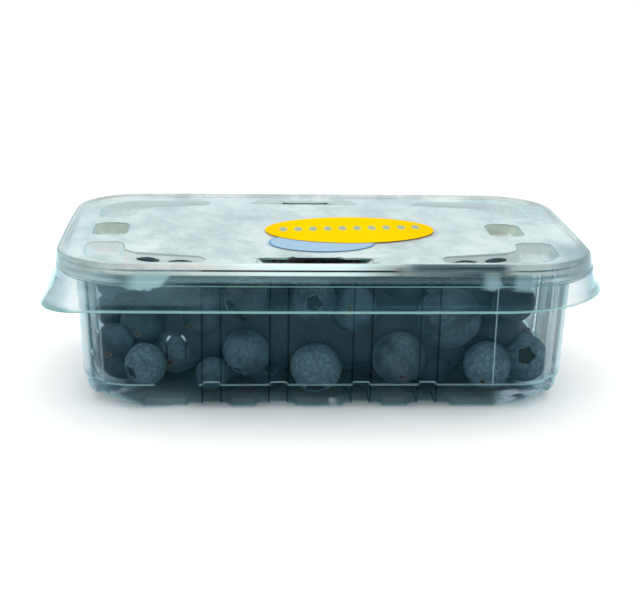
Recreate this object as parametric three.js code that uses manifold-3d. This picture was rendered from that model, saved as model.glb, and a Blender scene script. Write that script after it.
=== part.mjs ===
// A shallow clear punnet of blueberries: a thermoformed tray with ribbed walls and moulded feet, the heap
// of berries that fills it, and a press-on lid with vent slots and two oval labels.
// Millimetres, +Z up. The origin is under the middle of the pack, on the surface that it stands on.
// The long side runs along X, and the front faces -Y.
import * as THREE from "three";
import { mergeVertices } from "three/addons/utils/BufferGeometryUtils.js";
import Module from "manifold-3d";

const wasm = await Module();
wasm.setup();

// ---- driving dimensions ----
const LENGTH = 189.6; // across the lid's skirt along X, if its ends flared as its front and back do
const END_TUCK = { left: 2.8, right: 0.8 }; // the ends of the skirt flare out this much less
const DEPTH = 122; // outside the lid's skirt, along Y
const HEIGHT = 52; // to the top of the lid's rim bead
const SHEET = 0.55; // wall thickness of the formed plastic
const CLEARANCE = 0.3; // between pieces that rest on each other
const OVERSHOOT = 1; // how far a cutter runs past what it cuts

// ---- lid ----
const SIDE_BOW = 1; // how far the middle of each side of the lid swells outwards
const SKIRT_RADIUS = 37; // plan corner radius at the skirt's lower edge
const RADIUS_LOSS = 2.1; // the plan corner radius falls by this much for each millimetre further in
const SKIRT_BOTTOM = 37.8;
const LEDGE = { inset: 4.3, width: 0.7, z: 46 }; // the shoulder that sits on the tray's rim
const TUCK_SPAN = [2.4, 6.5]; // distances in from the outline over which the ends' tuck runs out
const PANEL_INSET = 9.8; // where the bead meets the flat top panel
const PANEL_Z = 50.5;
const TAB_RADII = [12, 19]; // at the lowest two heights, of the sharper front-left corner that a thumb lifts
const LID_PROFILE = [
  // [distance in from the outline, height], from the skirt's lower edge up and in to the panel
  [0, SKIRT_BOTTOM],
  [2.4, SKIRT_BOTTOM + 2],
  [3.7, SKIRT_BOTTOM + 4.8],
  [LEDGE.inset - 0.3, LEDGE.z - 0.8],
  [LEDGE.inset, LEDGE.z],
  [LEDGE.inset + LEDGE.width, LEDGE.z + 0.5],
  [5.2, 48],
  [5.7, 49.9],
  [6.5, 51.3],
  [7.7, HEIGHT],
  [PANEL_INSET, PANEL_Z],
];
const RECESS_X = -4; // the slots and pockets sit a little to the left of the lid's middle
const CORNER_X = -1; // and the corner recesses less so
const RECESS_DEPTH = 4;
const SLOT = { halfLength: 19, y: 45, halfWidth: 3.4, depth: 1.4 };
const SLOT_VENT = { halfLength: 17.5, halfWidth: 0.8, y: 42 }; // in the inner flank of the slot
const POCKET = { x: 69, halfWidth: 6, halfLength: 9.5 };
const CORNER = {
  outerX: 78.3, outerY: 46.5, radius: 15, // the outer edges and the bend between them
  innerX: 65, innerY: 38.5, slant: 5, // the inner edges, and how far the long one leans in
  endX: 38.6, endY: 19,
};
const CORNER_VENTS = [{ x: 45.6, y: 38.15, halfLength: 5 }, { x: 57, y: 35.35, halfLength: 4 }];
const CORNER_VENT_SLOPE = -0.245; // they run along the slanted edge
const CORNER_VENT_HALF = 0.3; // seen from above; each is cut in a steep flank
const RECESS_TAPER = 1.6;
const SLOT_TAPER = 0.9;
const LID_CORNER_STEPS = 8;
const LID_SIDE_STEPS = { long: 6, short: 4 };

// ---- tray ----
const TRAY = { halfX: 80, halfY: 46, radius: 17.4, draft: 0.055, wallFoot: 9, rimTop: 45.2 };
const PATTERN_X = -2; // the grooves and feet of the long sides sit a little to the left of the middle
const RIM_INSET = 5.2; // how far the edge of the rim lies inside the lid's outline
const GROOVE_DEPTH = 1.6;
const LONG_GROOVES = [13.6, 35.5]; // their distances from the middle of a long side
const SHORT_GROOVES = [11];
const GROOVE_HALF = 3;
const GROOVE_FLANK = 1;
const FLUTE = { half: 10, flank: 3, depth: 1.2 }; // the fold down each corner, in degrees round it
// The short round-topped groove over an outer foot, at the front left and its opposite.
const ARCH = { x: 46.8, top: 26.5, half: 3, depth: 1.4 };
const LONG_FEET = [[-7.3, 7.3], [21.4, 29], [44.2, 58]]; // soles of the feet, from the middle of a long side
const SHORT_FEET = [[-4, 4], [16, 24]];
const FOOT_FLANK = 1.7;
const FOOT_HEIGHT = 1.5;
const CORNER_LIFT = 2.6; // how far the base rises at the corners
const SOLE = { outer: 3.8, inner: 12, back: 1.5 }; // how far in from the walls the soles begin and end

// ---- berries ----
const BERRY_COLUMNS = 10;
const BERRY_ROWS = 5;
const BERRY_LAYERS = 3;
const BERRY_RADIUS = { least: 6.9, spread: 2.7 };
const BERRY_FLATNESS = 0.86; // height over width
const HEAP = { halfX: 77.6, halfY: 43.4, radius: 18, floor: 2.9, top: 45 };
const CORE = { inset: 4.3, taper: 1.7, floor: 3.8, top: 41.2 };
const BERRY_SIDES = 7;
const BERRY_BANDS = 4;
const SETTLING_STEPS = 260;
const BEHIND_FRONT = -33; // the loose berries lie behind this
const FRONT_BERRIES = [
  // [x, y, z, radius] of the berries that lie at the front wall, the nearest to it first
  [-59.5, -36.1, 12.8, 7.1],
  [-2.8, -34.6, 11.1, 8.7],
  [24.8, -34.1, 14.1, 9.2],
  [54.9, -34.9, 11.9, 8.4],
  [-25.9, -35.3, 16.7, 8],
  [-37.5, -37.6, 10.1, 5.6],
  [41.7, -32.4, 27.7, 11],
  [-3.6, -35.9, 34.9, 7.3],
  [-40.5, -27.5, 27.5, 8.2],
  [9.8, -34.5, 31.2, 7.6],
  [62.9, -34.2, 33.6, 7.4],
  [-26.5, -35.2, 35.6, 7.2],
  [-60.9, -28.5, 24.6, 7.4],
  [69, -27.5, 11.9, 8.2],
  [-69.4, -31.8, 19.4, 6.5],
  [-49.9, -24.2, 15.2, 9.2],
  [-11.8, -22.2, 17.8, 9.2],
  [7.7, -23.7, 13.9, 7.5],
];

// ---- labels ----
const LABEL_THICKNESS = 0.3;
const LABEL_GAP = 0.1;
const YELLOW = { x: 10, y: -2.4, halfX: 29.6, halfY: 19.4, turn: 3 }; // turn in degrees
const BLUE = { x: -0.8, y: -20.6, halfX: 17.9, halfY: 12.6, turn: 0 };

// ================= solids =================

const QUARTERS = [[1, 1], [-1, 1], [-1, -1], [1, -1]]; // counter-clockwise

// A triangle list as a manifold-3d solid, with vertices at one place merged.
function solidOf(positions) {
  const loose = new THREE.BufferGeometry();
  loose.setAttribute("position", new THREE.Float32BufferAttribute(positions, 3));
  return solidOfGeometry(loose);
}

function solidOfGeometry(geometry) {
  const bare = new THREE.BufferGeometry();
  const flat = geometry.index ? geometry.toNonIndexed() : geometry;
  bare.setAttribute("position", flat.getAttribute("position"));
  const merged = mergeVertices(bare, 1e-4);
  const mesh = new wasm.Mesh({
    numProp: 3,
    vertProperties: merged.attributes.position.array,
    triVerts: new Uint32Array(merged.index.array),
  });
  return new wasm.Manifold(mesh);
}

function geometryOf(solid) {
  const mesh = solid.getMesh();
  const geometry = new THREE.BufferGeometry();
  geometry.setAttribute("position", new THREE.Float32BufferAttribute(mesh.vertProperties, 3));
  geometry.setIndex(new THREE.BufferAttribute(mesh.triVerts, 1));
  geometry.computeVertexNormals();
  return geometry;
}

function triangle(out, a, b, c) {
  out.push(...a, ...b, ...c);
}

// The solid between rings of points that run counter-clockwise seen from above. The first ring is the
// lower cap.
function loft(rings) {
  const out = [];
  const count = rings[0].length;
  for (let k = 0; k + 1 < rings.length; k++) {
    for (let i = 0; i < count; i++) {
      const j = (i + 1) % count;
      triangle(out, rings[k][i], rings[k][j], rings[k + 1][j]);
      triangle(out, rings[k][i], rings[k + 1][j], rings[k + 1][i]);
    }
  }
  const middle = (ring) => [0, 0, ring.reduce((sum, p) => sum + p[2], 0) / count];
  const [low, high] = [rings[0], rings[rings.length - 1]];
  for (let i = 0; i < count; i++) {
    const j = (i + 1) % count;
    triangle(out, middle(low), low[j], low[i]);
    triangle(out, middle(high), high[i], high[j]);
  }
  return solidOf(out);
}

// ================= lid =================

// The lid's outline moved in by inset, at height z. Corners are quarter circles, and each side bows
// outwards as a parabola. The front-left corner takes tabRadius where one is given.
function lidRing(inset, z, tabRadius = 0) {
  const [halfX, halfY] = [LENGTH / 2 - SIDE_BOW - inset, DEPTH / 2 - SIDE_BOW - inset];
  const plain = SKIRT_RADIUS - RADIUS_LOSS * inset;
  const ring = [];
  QUARTERS.forEach(([sx, sy], quarter) => {
    const radius = sx < 0 && sy < 0 && tabRadius ? tabRadius : plain;
    for (let k = 0; k <= LID_CORNER_STEPS; k++) {
      const angle = ((quarter + k / LID_CORNER_STEPS) * Math.PI) / 2;
      ring.push([
        sx * (halfX - radius) + radius * Math.cos(angle),
        sy * (halfY - radius) + radius * Math.sin(angle),
        z,
      ]);
    }
    const along = quarter % 2 ? LID_SIDE_STEPS.short : LID_SIDE_STEPS.long;
    const from = ring[ring.length - 1];
    const nextRadius = quarter === 1 && tabRadius ? tabRadius : plain;
    const to = quarter % 2
      ? [from[0], -sy * (halfY - nextRadius)]
      : [-sx * (halfX - nextRadius), from[1]];
    for (let k = 1; k < along; k++) {
      const t = k / along;
      ring.push([from[0] + (to[0] - from[0]) * t, from[1] + (to[1] - from[1]) * t, z]);
    }
  });
  return ring.map(([x, y]) => {
    const [bowedX, bowedY] = bowed(x, y, halfX, halfY);
    return [bowedX - endTuck(inset, x / halfX), bowedY, z];
  });
}

// How much less far out a point stands for the ends' tuck, at a distance in from the outline and a place
// across it, from -1 at the left end to 1 at the right.
function endTuck(inset, across) {
  const most = across < 0 ? END_TUCK.left : END_TUCK.right;
  const share = THREE.MathUtils.clamp((TUCK_SPAN[1] - inset) / (TUCK_SPAN[1] - TUCK_SPAN[0]), 0, 1);
  return most * share * across;
}

// A point of an outline whose sides swell outwards towards their middles.
function bowed(x, y, halfX, halfY) {
  const [across, along] = [x / halfX, y / halfY];
  const swellX = SIDE_BOW * Math.sign(x) * (1 - along ** 2) * across ** 4;
  const swellY = SIDE_BOW * Math.sign(y) * (1 - across ** 2) * along ** 4;
  return [x + swellX, y + swellY];
}

// The profile moved by distance towards the inside of the sheet, along its normals.
function offsetProfile(profile, distance) {
  return profile.map(([inset, z], k) => {
    const before = profile[Math.max(k - 1, 0)];
    const after = profile[Math.min(k + 1, profile.length - 1)];
    const tangent = new THREE.Vector2(after[0] - before[0], after[1] - before[1]).normalize();
    return [inset + tangent.y * distance, z - tangent.x * distance];
  });
}

// A closed outline moved outwards by distance, corner by corner.
function grownOutline(points, distance) {
  return points.map((point, k) => {
    const before = points[(k + points.length - 1) % points.length];
    const after = points[(k + 1) % points.length];
    const a = new THREE.Vector2().subVectors(point, before).normalize();
    const b = new THREE.Vector2().subVectors(after, point).normalize();
    const normal = new THREE.Vector2(a.y + b.y, -a.x - b.x).normalize();
    const reach = distance / Math.max(0.5, normal.x * a.y - normal.y * a.x);
    return new THREE.Vector2(point.x + normal.x * reach, point.y + normal.y * reach);
  });
}

// A plug whose outline is given at its top, and which narrows by taper at its bottom.
function plug(outline, top, bottom, taper) {
  const narrow = grownOutline(outline, -taper);
  const out = [];
  const count = outline.length;
  const upper = outline.map((p) => [p.x, p.y, top]);
  const lower = narrow.map((p) => [p.x, p.y, bottom]);
  for (let i = 0; i < count; i++) {
    const j = (i + 1) % count;
    triangle(out, lower[i], lower[j], upper[j]);
    triangle(out, lower[i], upper[j], upper[i]);
  }
  for (const [a, b, c] of THREE.ShapeUtils.triangulateShape(outline, [])) {
    triangle(out, upper[a], upper[b], upper[c]);
    triangle(out, lower[c], lower[b], lower[a]);
  }
  return solidOf(out);
}

const ARC_STEPS = 3;

// A rectangle with round corners, about (x, y), counter-clockwise.
function roundedRectangle(x, y, halfX, halfY, radius) {
  const points = [];
  QUARTERS.forEach(([sx, sy], quarter) => {
    for (let k = 0; k <= ARC_STEPS; k++) {
      const angle = ((quarter + k / ARC_STEPS) * Math.PI) / 2;
      points.push(new THREE.Vector2(
        x + sx * (halfX - radius) + radius * Math.cos(angle),
        y + sy * (halfY - radius) + radius * Math.sin(angle),
      ));
    }
  });
  return points;
}

// The L-shaped recess of the corner on side (sx, sy), counter-clockwise, with a round outer corner and an
// inner edge that slants in towards the bend.
function cornerOutline(sx, sy) {
  const c = CORNER;
  const points = [[c.outerX, c.endY + 2], [c.outerX, c.outerY - c.radius]];
  for (let k = 1; k < ARC_STEPS * 2; k++) {
    const angle = (k / (ARC_STEPS * 2)) * (Math.PI / 2);
    points.push([
      c.outerX - c.radius + c.radius * Math.cos(angle),
      c.outerY - c.radius + c.radius * Math.sin(angle),
    ]);
  }
  points.push([c.outerX - c.radius, c.outerY], [c.endX + 2, c.outerY], [c.endX, c.outerY - 2]);
  const bendY = c.innerY - c.slant;
  points.push([c.endX, c.innerY + 2], [c.endX + 2, c.innerY], [c.innerX - 4, bendY]);
  points.push([c.innerX, bendY - 4], [c.innerX + 1, c.endY + 2], [c.innerX + 3, c.endY]);
  points.push([c.outerX - 2, c.endY]);
  const placed = points.map(([x, y]) => new THREE.Vector2(CORNER_X + sx * x, sy * y));
  return sx * sy < 0 ? placed.reverse() : placed;
}

// Every recess in the lid's panel as [outline, depth, taper].
function lidRecesses() {
  const recesses = QUARTERS.map(([sx, sy]) => [cornerOutline(sx, sy), RECESS_DEPTH, RECESS_TAPER]);
  for (const side of [-1, 1]) {
    const pocketX = RECESS_X + side * POCKET.x;
    const pocket = roundedRectangle(pocketX, 0, POCKET.halfWidth, POCKET.halfLength, 4);
    const slot = roundedRectangle(RECESS_X, side * SLOT.y, SLOT.halfLength, SLOT.halfWidth, 2.8);
    recesses.push([pocket, RECESS_DEPTH, RECESS_TAPER], [slot, SLOT.depth, SLOT_TAPER]);
  }
  return recesses;
}

// A slit with pointed ends, cut right through: the space common to two circles, turned to a slope.
function slit(x, y, halfLength, halfWidth, slope = 0) {
  const radius = (halfLength ** 2 + halfWidth ** 2) / (2 * halfWidth);
  const reach = Math.asin(halfLength / radius);
  const points = [];
  const steps = 6;
  for (const side of [-1, 1]) {
    for (let k = 0; k < steps; k++) {
      const angle = side * (-reach + (2 * reach * k) / steps);
      points.push(new THREE.Vector2(
        x - side * radius * Math.sin(side * angle),
        y + side * (radius * Math.cos(angle) - radius + halfWidth),
      ));
    }
  }
  const middle = new THREE.Vector2(x, y);
  for (const point of points) point.rotateAround(middle, Math.atan(slope));
  const outline = THREE.ShapeUtils.isClockWise(points) ? points.reverse() : points;
  return plug(outline, HEIGHT, PANEL_Z - RECESS_DEPTH - 3, 0);
}

function makeLid() {
  const inner = offsetProfile(LID_PROFILE, SHEET);
  let outside = loft(LID_PROFILE.map(([inset, z], k) => lidRing(inset, z, TAB_RADII[k])));
  const innerRings = inner.map(([inset, z], k) => lidRing(inset, z, TAB_RADII[k]));
  const mouth = lidRing(inner[0][0], SKIRT_BOTTOM - OVERSHOOT, TAB_RADII[0]);
  let inside = loft([mouth, ...innerRings]);
  for (const [outline, depth, taper] of lidRecesses()) {
    outside = outside.subtract(plug(outline, PANEL_Z + OVERSHOOT, PANEL_Z - depth, taper));
    const grown = grownOutline(outline, SHEET);
    inside = inside.subtract(plug(grown, PANEL_Z + OVERSHOOT, PANEL_Z - depth - SHEET, taper));
  }
  let lid = outside.subtract(inside);
  for (const side of [-1, 1]) {
    lid = lid.subtract(slit(RECESS_X, side * SLOT_VENT.y, SLOT_VENT.halfLength, SLOT_VENT.halfWidth));
  }
  for (const [sx, sy] of QUARTERS) {
    for (const { x, y, halfLength } of CORNER_VENTS) {
      const slope = CORNER_VENT_SLOPE * sx * sy;
      lid = lid.subtract(slit(CORNER_X + sx * x, sy * y, halfLength, CORNER_VENT_HALF, slope));
    }
  }
  return lid;
}

// ================= tray =================

// Points along half a side, from its middle, wherever a groove or a foot begins or ends.
function breaks(grooves, feet) {
  const places = new Set();
  for (const g of grooves) {
    for (const d of [-GROOVE_HALF, GROOVE_FLANK - GROOVE_HALF, GROOVE_HALF - GROOVE_FLANK, GROOVE_HALF]) {
      places.add(g + d);
    }
  }
  for (const [from, to] of feet) {
    for (const p of [from - FOOT_FLANK, from, to, to + FOOT_FLANK]) {
      if (p > 0) places.add(p);
    }
  }
  return [...places].sort((a, b) => a - b);
}

// 1 between from and to, 0 away from them, and straight ramps of width flank outside them.
function ramp(place, from, to, flank) {
  return THREE.MathUtils.clamp(Math.min(place - from, to - place) / flank + 1, 0, 1);
}

// The places round the tray. Each has at(halfX, halfY, radius), its point on an outline of that size, its
// outward normal, how far a groove draws it inward, and its share, 0 to 1, of a foot and of a corner.
function trayPlaces() {
  const places = [];
  const side = (sign, long) => {
    const [grooves, feet] = long ? [LONG_GROOVES, LONG_FEET] : [SHORT_GROOVES, SHORT_FEET];
    const half = breaks(grooves, feet);
    for (const along of [...half.map((p) => -p).reverse(), ...half]) {
      const reach = Math.abs(along);
      const groove = Math.max(...grooves.map((g) => (
        ramp(reach, g - GROOVE_HALF + GROOVE_FLANK, g + GROOVE_HALF - GROOVE_FLANK, GROOVE_FLANK)
      )));
      const foot = Math.max(...feet.map(([from, to]) => ramp(reach, from, to, FOOT_FLANK)));
      const normal = long ? [0, sign] : [sign, 0];
      const at = (halfX, halfY) => (
        long ? [PATTERN_X - sign * along, sign * halfY] : [sign * halfX, sign * along]
      );
      places.push({ at, normal, inward: GROOVE_DEPTH * groove, foot, corner: 0 });
    }
  };
  const corner = (sx, sy, quarter) => {
    const [from, to] = [45 - FLUTE.half, 45 + FLUTE.half];
    const marks = [0, 17, from, from + FLUTE.flank, to - FLUTE.flank, to, 73, 90];
    for (const degrees of marks) {
      const angle = THREE.MathUtils.degToRad(degrees + 90 * quarter);
      const [c, s] = [Math.cos(angle), Math.sin(angle)];
      const at = (halfX, halfY, radius) => [
        sx * (halfX - radius) + radius * c,
        sy * (halfY - radius) + radius * s,
      ];
      const inward = FLUTE.depth * ramp(degrees, from + FLUTE.flank, to - FLUTE.flank, FLUTE.flank);
      const middle = Math.sin(THREE.MathUtils.degToRad(2 * degrees));
      places.push({ at, normal: [c, s], inward, foot: 0, corner: middle });
    }
  };
  side(1, false);
  corner(1, 1, 0);
  side(1, true);
  corner(-1, 1, 1);
  side(-1, false);
  corner(-1, -1, 2);
  side(-1, true);
  corner(1, -1, 3);
  return places;
}

const PLACES = trayPlaces();

// The tray's form, from under the middle of the base up to the rim, as rows of [distance in from the
// drafted wall, draft height, share of the grooves' depth, height at a place, the sheet's normal [in, up]].
const sole = (place) => FOOT_HEIGHT * (1 - place.foot);
const cornerRise = (z, lift) => (place) => z + lift * place.corner;
const TRAY_ROWS = [
  [SOLE.inner + SOLE.back, 0, 0, () => FOOT_HEIGHT, [0, 1]],
  [SOLE.inner, 0, 0, sole, [0, 1]],
  [SOLE.outer, 0, 0.6, (place) => sole(place) + CORNER_LIFT * place.corner, [0.3, 1]],
  [1.3, 0, 1, cornerRise(2.8, CORNER_LIFT / 2), [0.7, 0.7]],
  [0.4, 0, 1, cornerRise(6, CORNER_LIFT / 4), [1, 0.3]],
  [0, TRAY.wallFoot, 1, () => TRAY.wallFoot, [1, 0]],
  [0, TRAY.rimTop, 1, () => TRAY.rimTop - SHEET, [1, 0]],
];

// A ring of the tray's form, moved by distance along the sheet's normal.
function trayRing([inset, draftHeight, relief, height, normal], distance) {
  const grow = TRAY.draft * draftHeight - inset - normal[0] * distance;
  const radius = Math.max(4, TRAY.radius + grow);
  return PLACES.map((place) => {
    const [x, y] = place.at(TRAY.halfX + grow, TRAY.halfY + grow, radius);
    const inward = place.inward * relief;
    const z = height(place) + normal[1] * distance;
    return [x - place.normal[0] * inward, y - place.normal[1] * inward, z];
  });
}

// A ring of the tray's rim, which follows the inside of the lid's skirt.
function rimRing(z) {
  const halfX = LENGTH / 2 - SIDE_BOW - RIM_INSET;
  const halfY = DEPTH / 2 - SIDE_BOW - RIM_INSET;
  const radius = SKIRT_RADIUS - RADIUS_LOSS * RIM_INSET;
  const skirt = LEDGE.inset - 0.3;
  return PLACES.map((place) => {
    const [x, y] = bowed(...place.at(halfX, halfY, radius), halfX, halfY);
    return [x - endTuck(skirt, x / halfX), y, z];
  });
}

// The form of a short round-topped groove on its back, with its outline's height along Y and its depth
// along Z.
function archPlug(growth) {
  const outline = [];
  const steps = 6;
  const middle = ARCH.top - ARCH.half;
  for (let k = 0; k <= steps; k++) {
    const angle = (Math.PI * k) / steps;
    outline.push(new THREE.Vector2(ARCH.half * Math.cos(angle), middle + ARCH.half * Math.sin(angle)));
  }
  outline.push(new THREE.Vector2(-ARCH.half, 1), new THREE.Vector2(ARCH.half, 1));
  const wall = TRAY.halfY + TRAY.draft * middle;
  return plug(grownOutline(outline, growth), wall + 2 * OVERSHOOT, wall - ARCH.depth - growth, 0.8);
}

function makeTray() {
  const outside = TRAY_ROWS.map((row) => trayRing(row, 0));
  const inside = TRAY_ROWS.map((row) => trayRing(row, SHEET));
  const mouth = inside.pop().map(([x, y]) => [x, y, TRAY.rimTop + OVERSHOOT]);
  outside.push(rimRing(TRAY.rimTop - SHEET), rimRing(TRAY.rimTop));
  let [shell, room] = [loft(outside), loft([...inside, mouth])];
  for (const side of [-1, 1]) {
    const x = PATTERN_X + side * ARCH.x;
    const turn = side < 0 ? 0 : 180;
    shell = shell.subtract(archPlug(0).rotate([90, 0, turn]).translate([x, 0, 0]));
    room = room.subtract(archPlug(SHEET).rotate([90, 0, turn]).translate([x, 0, 0]));
  }
  return shell.subtract(room);
}

// ================= berries =================

// A small seeded generator of numbers from 0 to 1, the same on every machine.
function seeded(seed) {
  let state = seed;
  return () => {
    state = (state * 16807) % 2147483647;
    return state / 2147483647;
  };
}

// The front berries stay where they are. The others start on loose layers, then sink and push each other
// apart until the heap has settled in the tray.
function settledBerries() {
  const random = seeded(4127);
  const front = FRONT_BERRIES.map(([x, y, z, r]) => ({ x, y, z, r, fixed: true }));
  const loose = [];
  const pitchY = (HEAP.halfY - 2 - BEHIND_FRONT) / BERRY_ROWS;
  for (let layer = 0; layer < BERRY_LAYERS; layer++) {
    for (let row = 0; row < BERRY_ROWS; row++) {
      for (let column = 0; column < BERRY_COLUMNS; column++) {
        const shift = (row + layer) % 2 ? 0.25 : -0.25;
        loose.push({
          x: ((column + 0.5 + shift) / BERRY_COLUMNS - 0.5) * 2 * (HEAP.halfX - 6) + (random() - 0.5) * 5,
          y: BEHIND_FRONT + (row + 0.5) * pitchY + (random() - 0.5) * 5,
          z: 10 + layer * 14 + (random() - 0.5) * 5,
          r: BERRY_RADIUS.least + BERRY_RADIUS.spread * random(),
          fixed: false,
        });
      }
    }
  }
  const clear = (a) => front.every((b) => Math.hypot(a.x - b.x, a.y - b.y, a.z - b.z) > b.r);
  const berries = [...front, ...loose.filter(clear)];
  for (let step = 0; step < SETTLING_STEPS; step++) {
    const sink = step < SETTLING_STEPS * 0.7 ? 0.22 : 0;
    for (const a of berries) if (!a.fixed) a.z -= sink;
    for (let i = 0; i < berries.length; i++) {
      for (let j = i + 1; j < berries.length; j++) push(berries[i], berries[j]);
    }
    for (const a of berries) if (!a.fixed) keepInTray(a);
  }
  return berries;
}

function push(a, b) {
  const reach = (a.r + b.r) * 0.97;
  const [dx, dy, dz] = [b.x - a.x, b.y - a.y, (b.z - a.z) / BERRY_FLATNESS];
  const apart = Math.hypot(dx, dy, dz);
  if (b.fixed || apart >= reach || apart === 0) return;
  const move = (reach - apart) / apart;
  const back = a.fixed ? 0 : move / 2;
  const on = move - back;
  a.x -= dx * back;
  a.y -= dy * back;
  a.z -= dz * back * BERRY_FLATNESS;
  b.x += dx * on;
  b.y += dy * on;
  b.z += dz * on * BERRY_FLATNESS;
}

function keepInTray(a) {
  const [roomX, roomY] = [HEAP.halfX - a.r, HEAP.halfY - a.r];
  a.x = THREE.MathUtils.clamp(a.x, -roomX, roomX);
  a.y = THREE.MathUtils.clamp(a.y, BEHIND_FRONT + a.r, roomY);
  const radius = HEAP.radius - a.r;
  const [cx, cy] = [Math.abs(a.x) - (roomX - radius), Math.abs(a.y) - (roomY - radius)];
  const past = Math.hypot(cx, cy);
  const inCorner = cx > 0 && cy > 0;
  if (inCorner && past > radius) {
    a.x = Math.sign(a.x) * (roomX - radius + (cx * radius) / past);
    a.y = Math.sign(a.y) * (roomY - radius + (cy * radius) / past);
  }
  const half = a.r * BERRY_FLATNESS;
  const lift = inCorner ? CORNER_LIFT * Math.min(1, (2 * cx * cy) / radius ** 2) : 0;
  a.z = THREE.MathUtils.clamp(a.z, HEAP.floor + lift + half, HEAP.top - half);
}

// A berry is a flattened ball of few faces. One that lies wholly in the core is left out.
function makeHeap() {
  const halfX = HEAP.halfX - CORE.inset;
  const halfY = HEAP.halfY - CORE.inset;
  const core = plug(roundedRectangle(0, 0, halfX, halfY, 12), CORE.top, CORE.floor, CORE.taper);
  const shown = settledBerries().filter(({ x, y, z, r }) => (
    Math.abs(x) + r > halfX || Math.abs(y) + r > halfY || z + r > CORE.top
  ));
  const balls = shown.map(({ x, y, z, r }, k) => {
    const ball = new THREE.SphereGeometry(r, BERRY_SIDES, BERRY_BANDS);
    ball.rotateZ(k);
    ball.rotateX(k * 1.7);
    ball.scale(1, 1, BERRY_FLATNESS);
    ball.translate(x, y, z);
    return solidOfGeometry(ball);
  });
  const bodies = wasm.Manifold.union([core, ...balls]).decompose();
  return bodies.reduce((most, body) => (body.volume() > most.volume() ? body : most));
}

// ================= labels =================

function ellipse({ x, y, halfX, halfY, turn }, grow) {
  const angle = THREE.MathUtils.degToRad(turn);
  const curve = new THREE.EllipseCurve(x, y, halfX + grow, halfY + grow, 0, 2 * Math.PI, false, angle);
  return curve.getPoints(32).slice(0, -1);
}

function labelPlate(oval, grow, margin) {
  const low = PANEL_Z + LABEL_GAP;
  return plug(ellipse(oval, grow), low + LABEL_THICKNESS + margin, low - margin, 0);
}

function makeBlueLabel() {
  return labelPlate(BLUE, 0, 0).subtract(labelPlate(YELLOW, CLEARANCE, OVERSHOOT));
}

// ================= the pack =================

const clearPlastic = { color: 0xdfe9e8, roughness: 0.08, metalness: 0 };
const FINISHES = {
  tray: { ...clearPlastic, transparent: true, opacity: 0.3 },
  lid: { ...clearPlastic, transparent: true, opacity: 0.3 },
  berries: { color: 0x2f3e56, roughness: 0.6, metalness: 0 },
  label_yellow: { color: 0xffd400, roughness: 0.45, metalness: 0 },
  label_blue: { color: 0xa9c9ea, roughness: 0.45, metalness: 0 },
};

const punnet = new THREE.Group();

function addNode(name, solid) {
  const centred = solid.translate([(END_TUCK.right - END_TUCK.left) / 2, 0, 0]);
  const mesh = new THREE.Mesh(geometryOf(centred), new THREE.MeshStandardMaterial(FINISHES[name]));
  mesh.name = name;
  punnet.add(mesh);
}

addNode("tray", makeTray());
addNode("berries", makeHeap());
addNode("lid", makeLid());
addNode("label_yellow", labelPlate(YELLOW, 0, 0));
addNode("label_blue", makeBlueLabel());

export default punnet;
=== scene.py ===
# A shallow clear punnet of blueberries: a thermoformed tray with ribbed walls and moulded feet, the loose
# berries that fill it, and a press-on lid with vents and two oval stickers.
# Metres, +Z up. Lengths are in millimetres until they are put into a mesh. Materials read places in metres
# and the values that a piece gives its points in millimetres.
import itertools
import math

import bpy
import numpy as np
from mathutils import Matrix, Vector


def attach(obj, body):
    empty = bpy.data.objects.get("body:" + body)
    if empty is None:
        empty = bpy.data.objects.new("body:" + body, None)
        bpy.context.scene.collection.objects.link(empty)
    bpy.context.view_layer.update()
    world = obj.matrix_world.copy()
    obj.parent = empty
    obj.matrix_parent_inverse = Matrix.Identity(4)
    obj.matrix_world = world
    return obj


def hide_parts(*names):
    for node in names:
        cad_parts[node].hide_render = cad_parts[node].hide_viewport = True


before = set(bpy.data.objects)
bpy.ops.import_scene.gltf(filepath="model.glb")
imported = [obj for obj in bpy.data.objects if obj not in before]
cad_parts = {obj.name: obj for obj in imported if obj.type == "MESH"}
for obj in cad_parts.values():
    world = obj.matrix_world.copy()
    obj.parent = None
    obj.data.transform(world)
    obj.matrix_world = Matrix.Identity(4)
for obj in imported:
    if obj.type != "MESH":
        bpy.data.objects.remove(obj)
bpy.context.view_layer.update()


# ---- Camera ----
# It looks at the front a little from above and from the left, through a long lens. The pack leans by a
# degree on its feet, which the camera's roll gives back.
CAMERA_TARGET = (-0.00079, 0.0, 0.02475)
CAMERA_DISTANCE = 0.5063
CAMERA_AZIMUTH, CAMERA_ELEVATION, CAMERA_ROLL = map(math.radians, (-3.38, 16.0, 1.04))

lens = bpy.data.cameras.new("camera")
lens.lens = 80.0
lens.sensor_width = 36.0
lens.clip_start = 0.05
camera = bpy.data.objects.new("camera", lens)
bpy.context.scene.collection.objects.link(camera)
backwards = Vector((
    math.sin(CAMERA_AZIMUTH) * math.cos(CAMERA_ELEVATION),
    -math.cos(CAMERA_AZIMUTH) * math.cos(CAMERA_ELEVATION),
    math.sin(CAMERA_ELEVATION),
))
turn = (-backwards).to_track_quat("-Z", "Y").to_matrix().to_4x4()
place = Matrix.Translation(Vector(CAMERA_TARGET) + backwards * CAMERA_DISTANCE)
camera.matrix_world = place @ turn @ Matrix.Rotation(CAMERA_ROLL, 4, "Z")
bpy.context.scene.camera = camera


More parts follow.
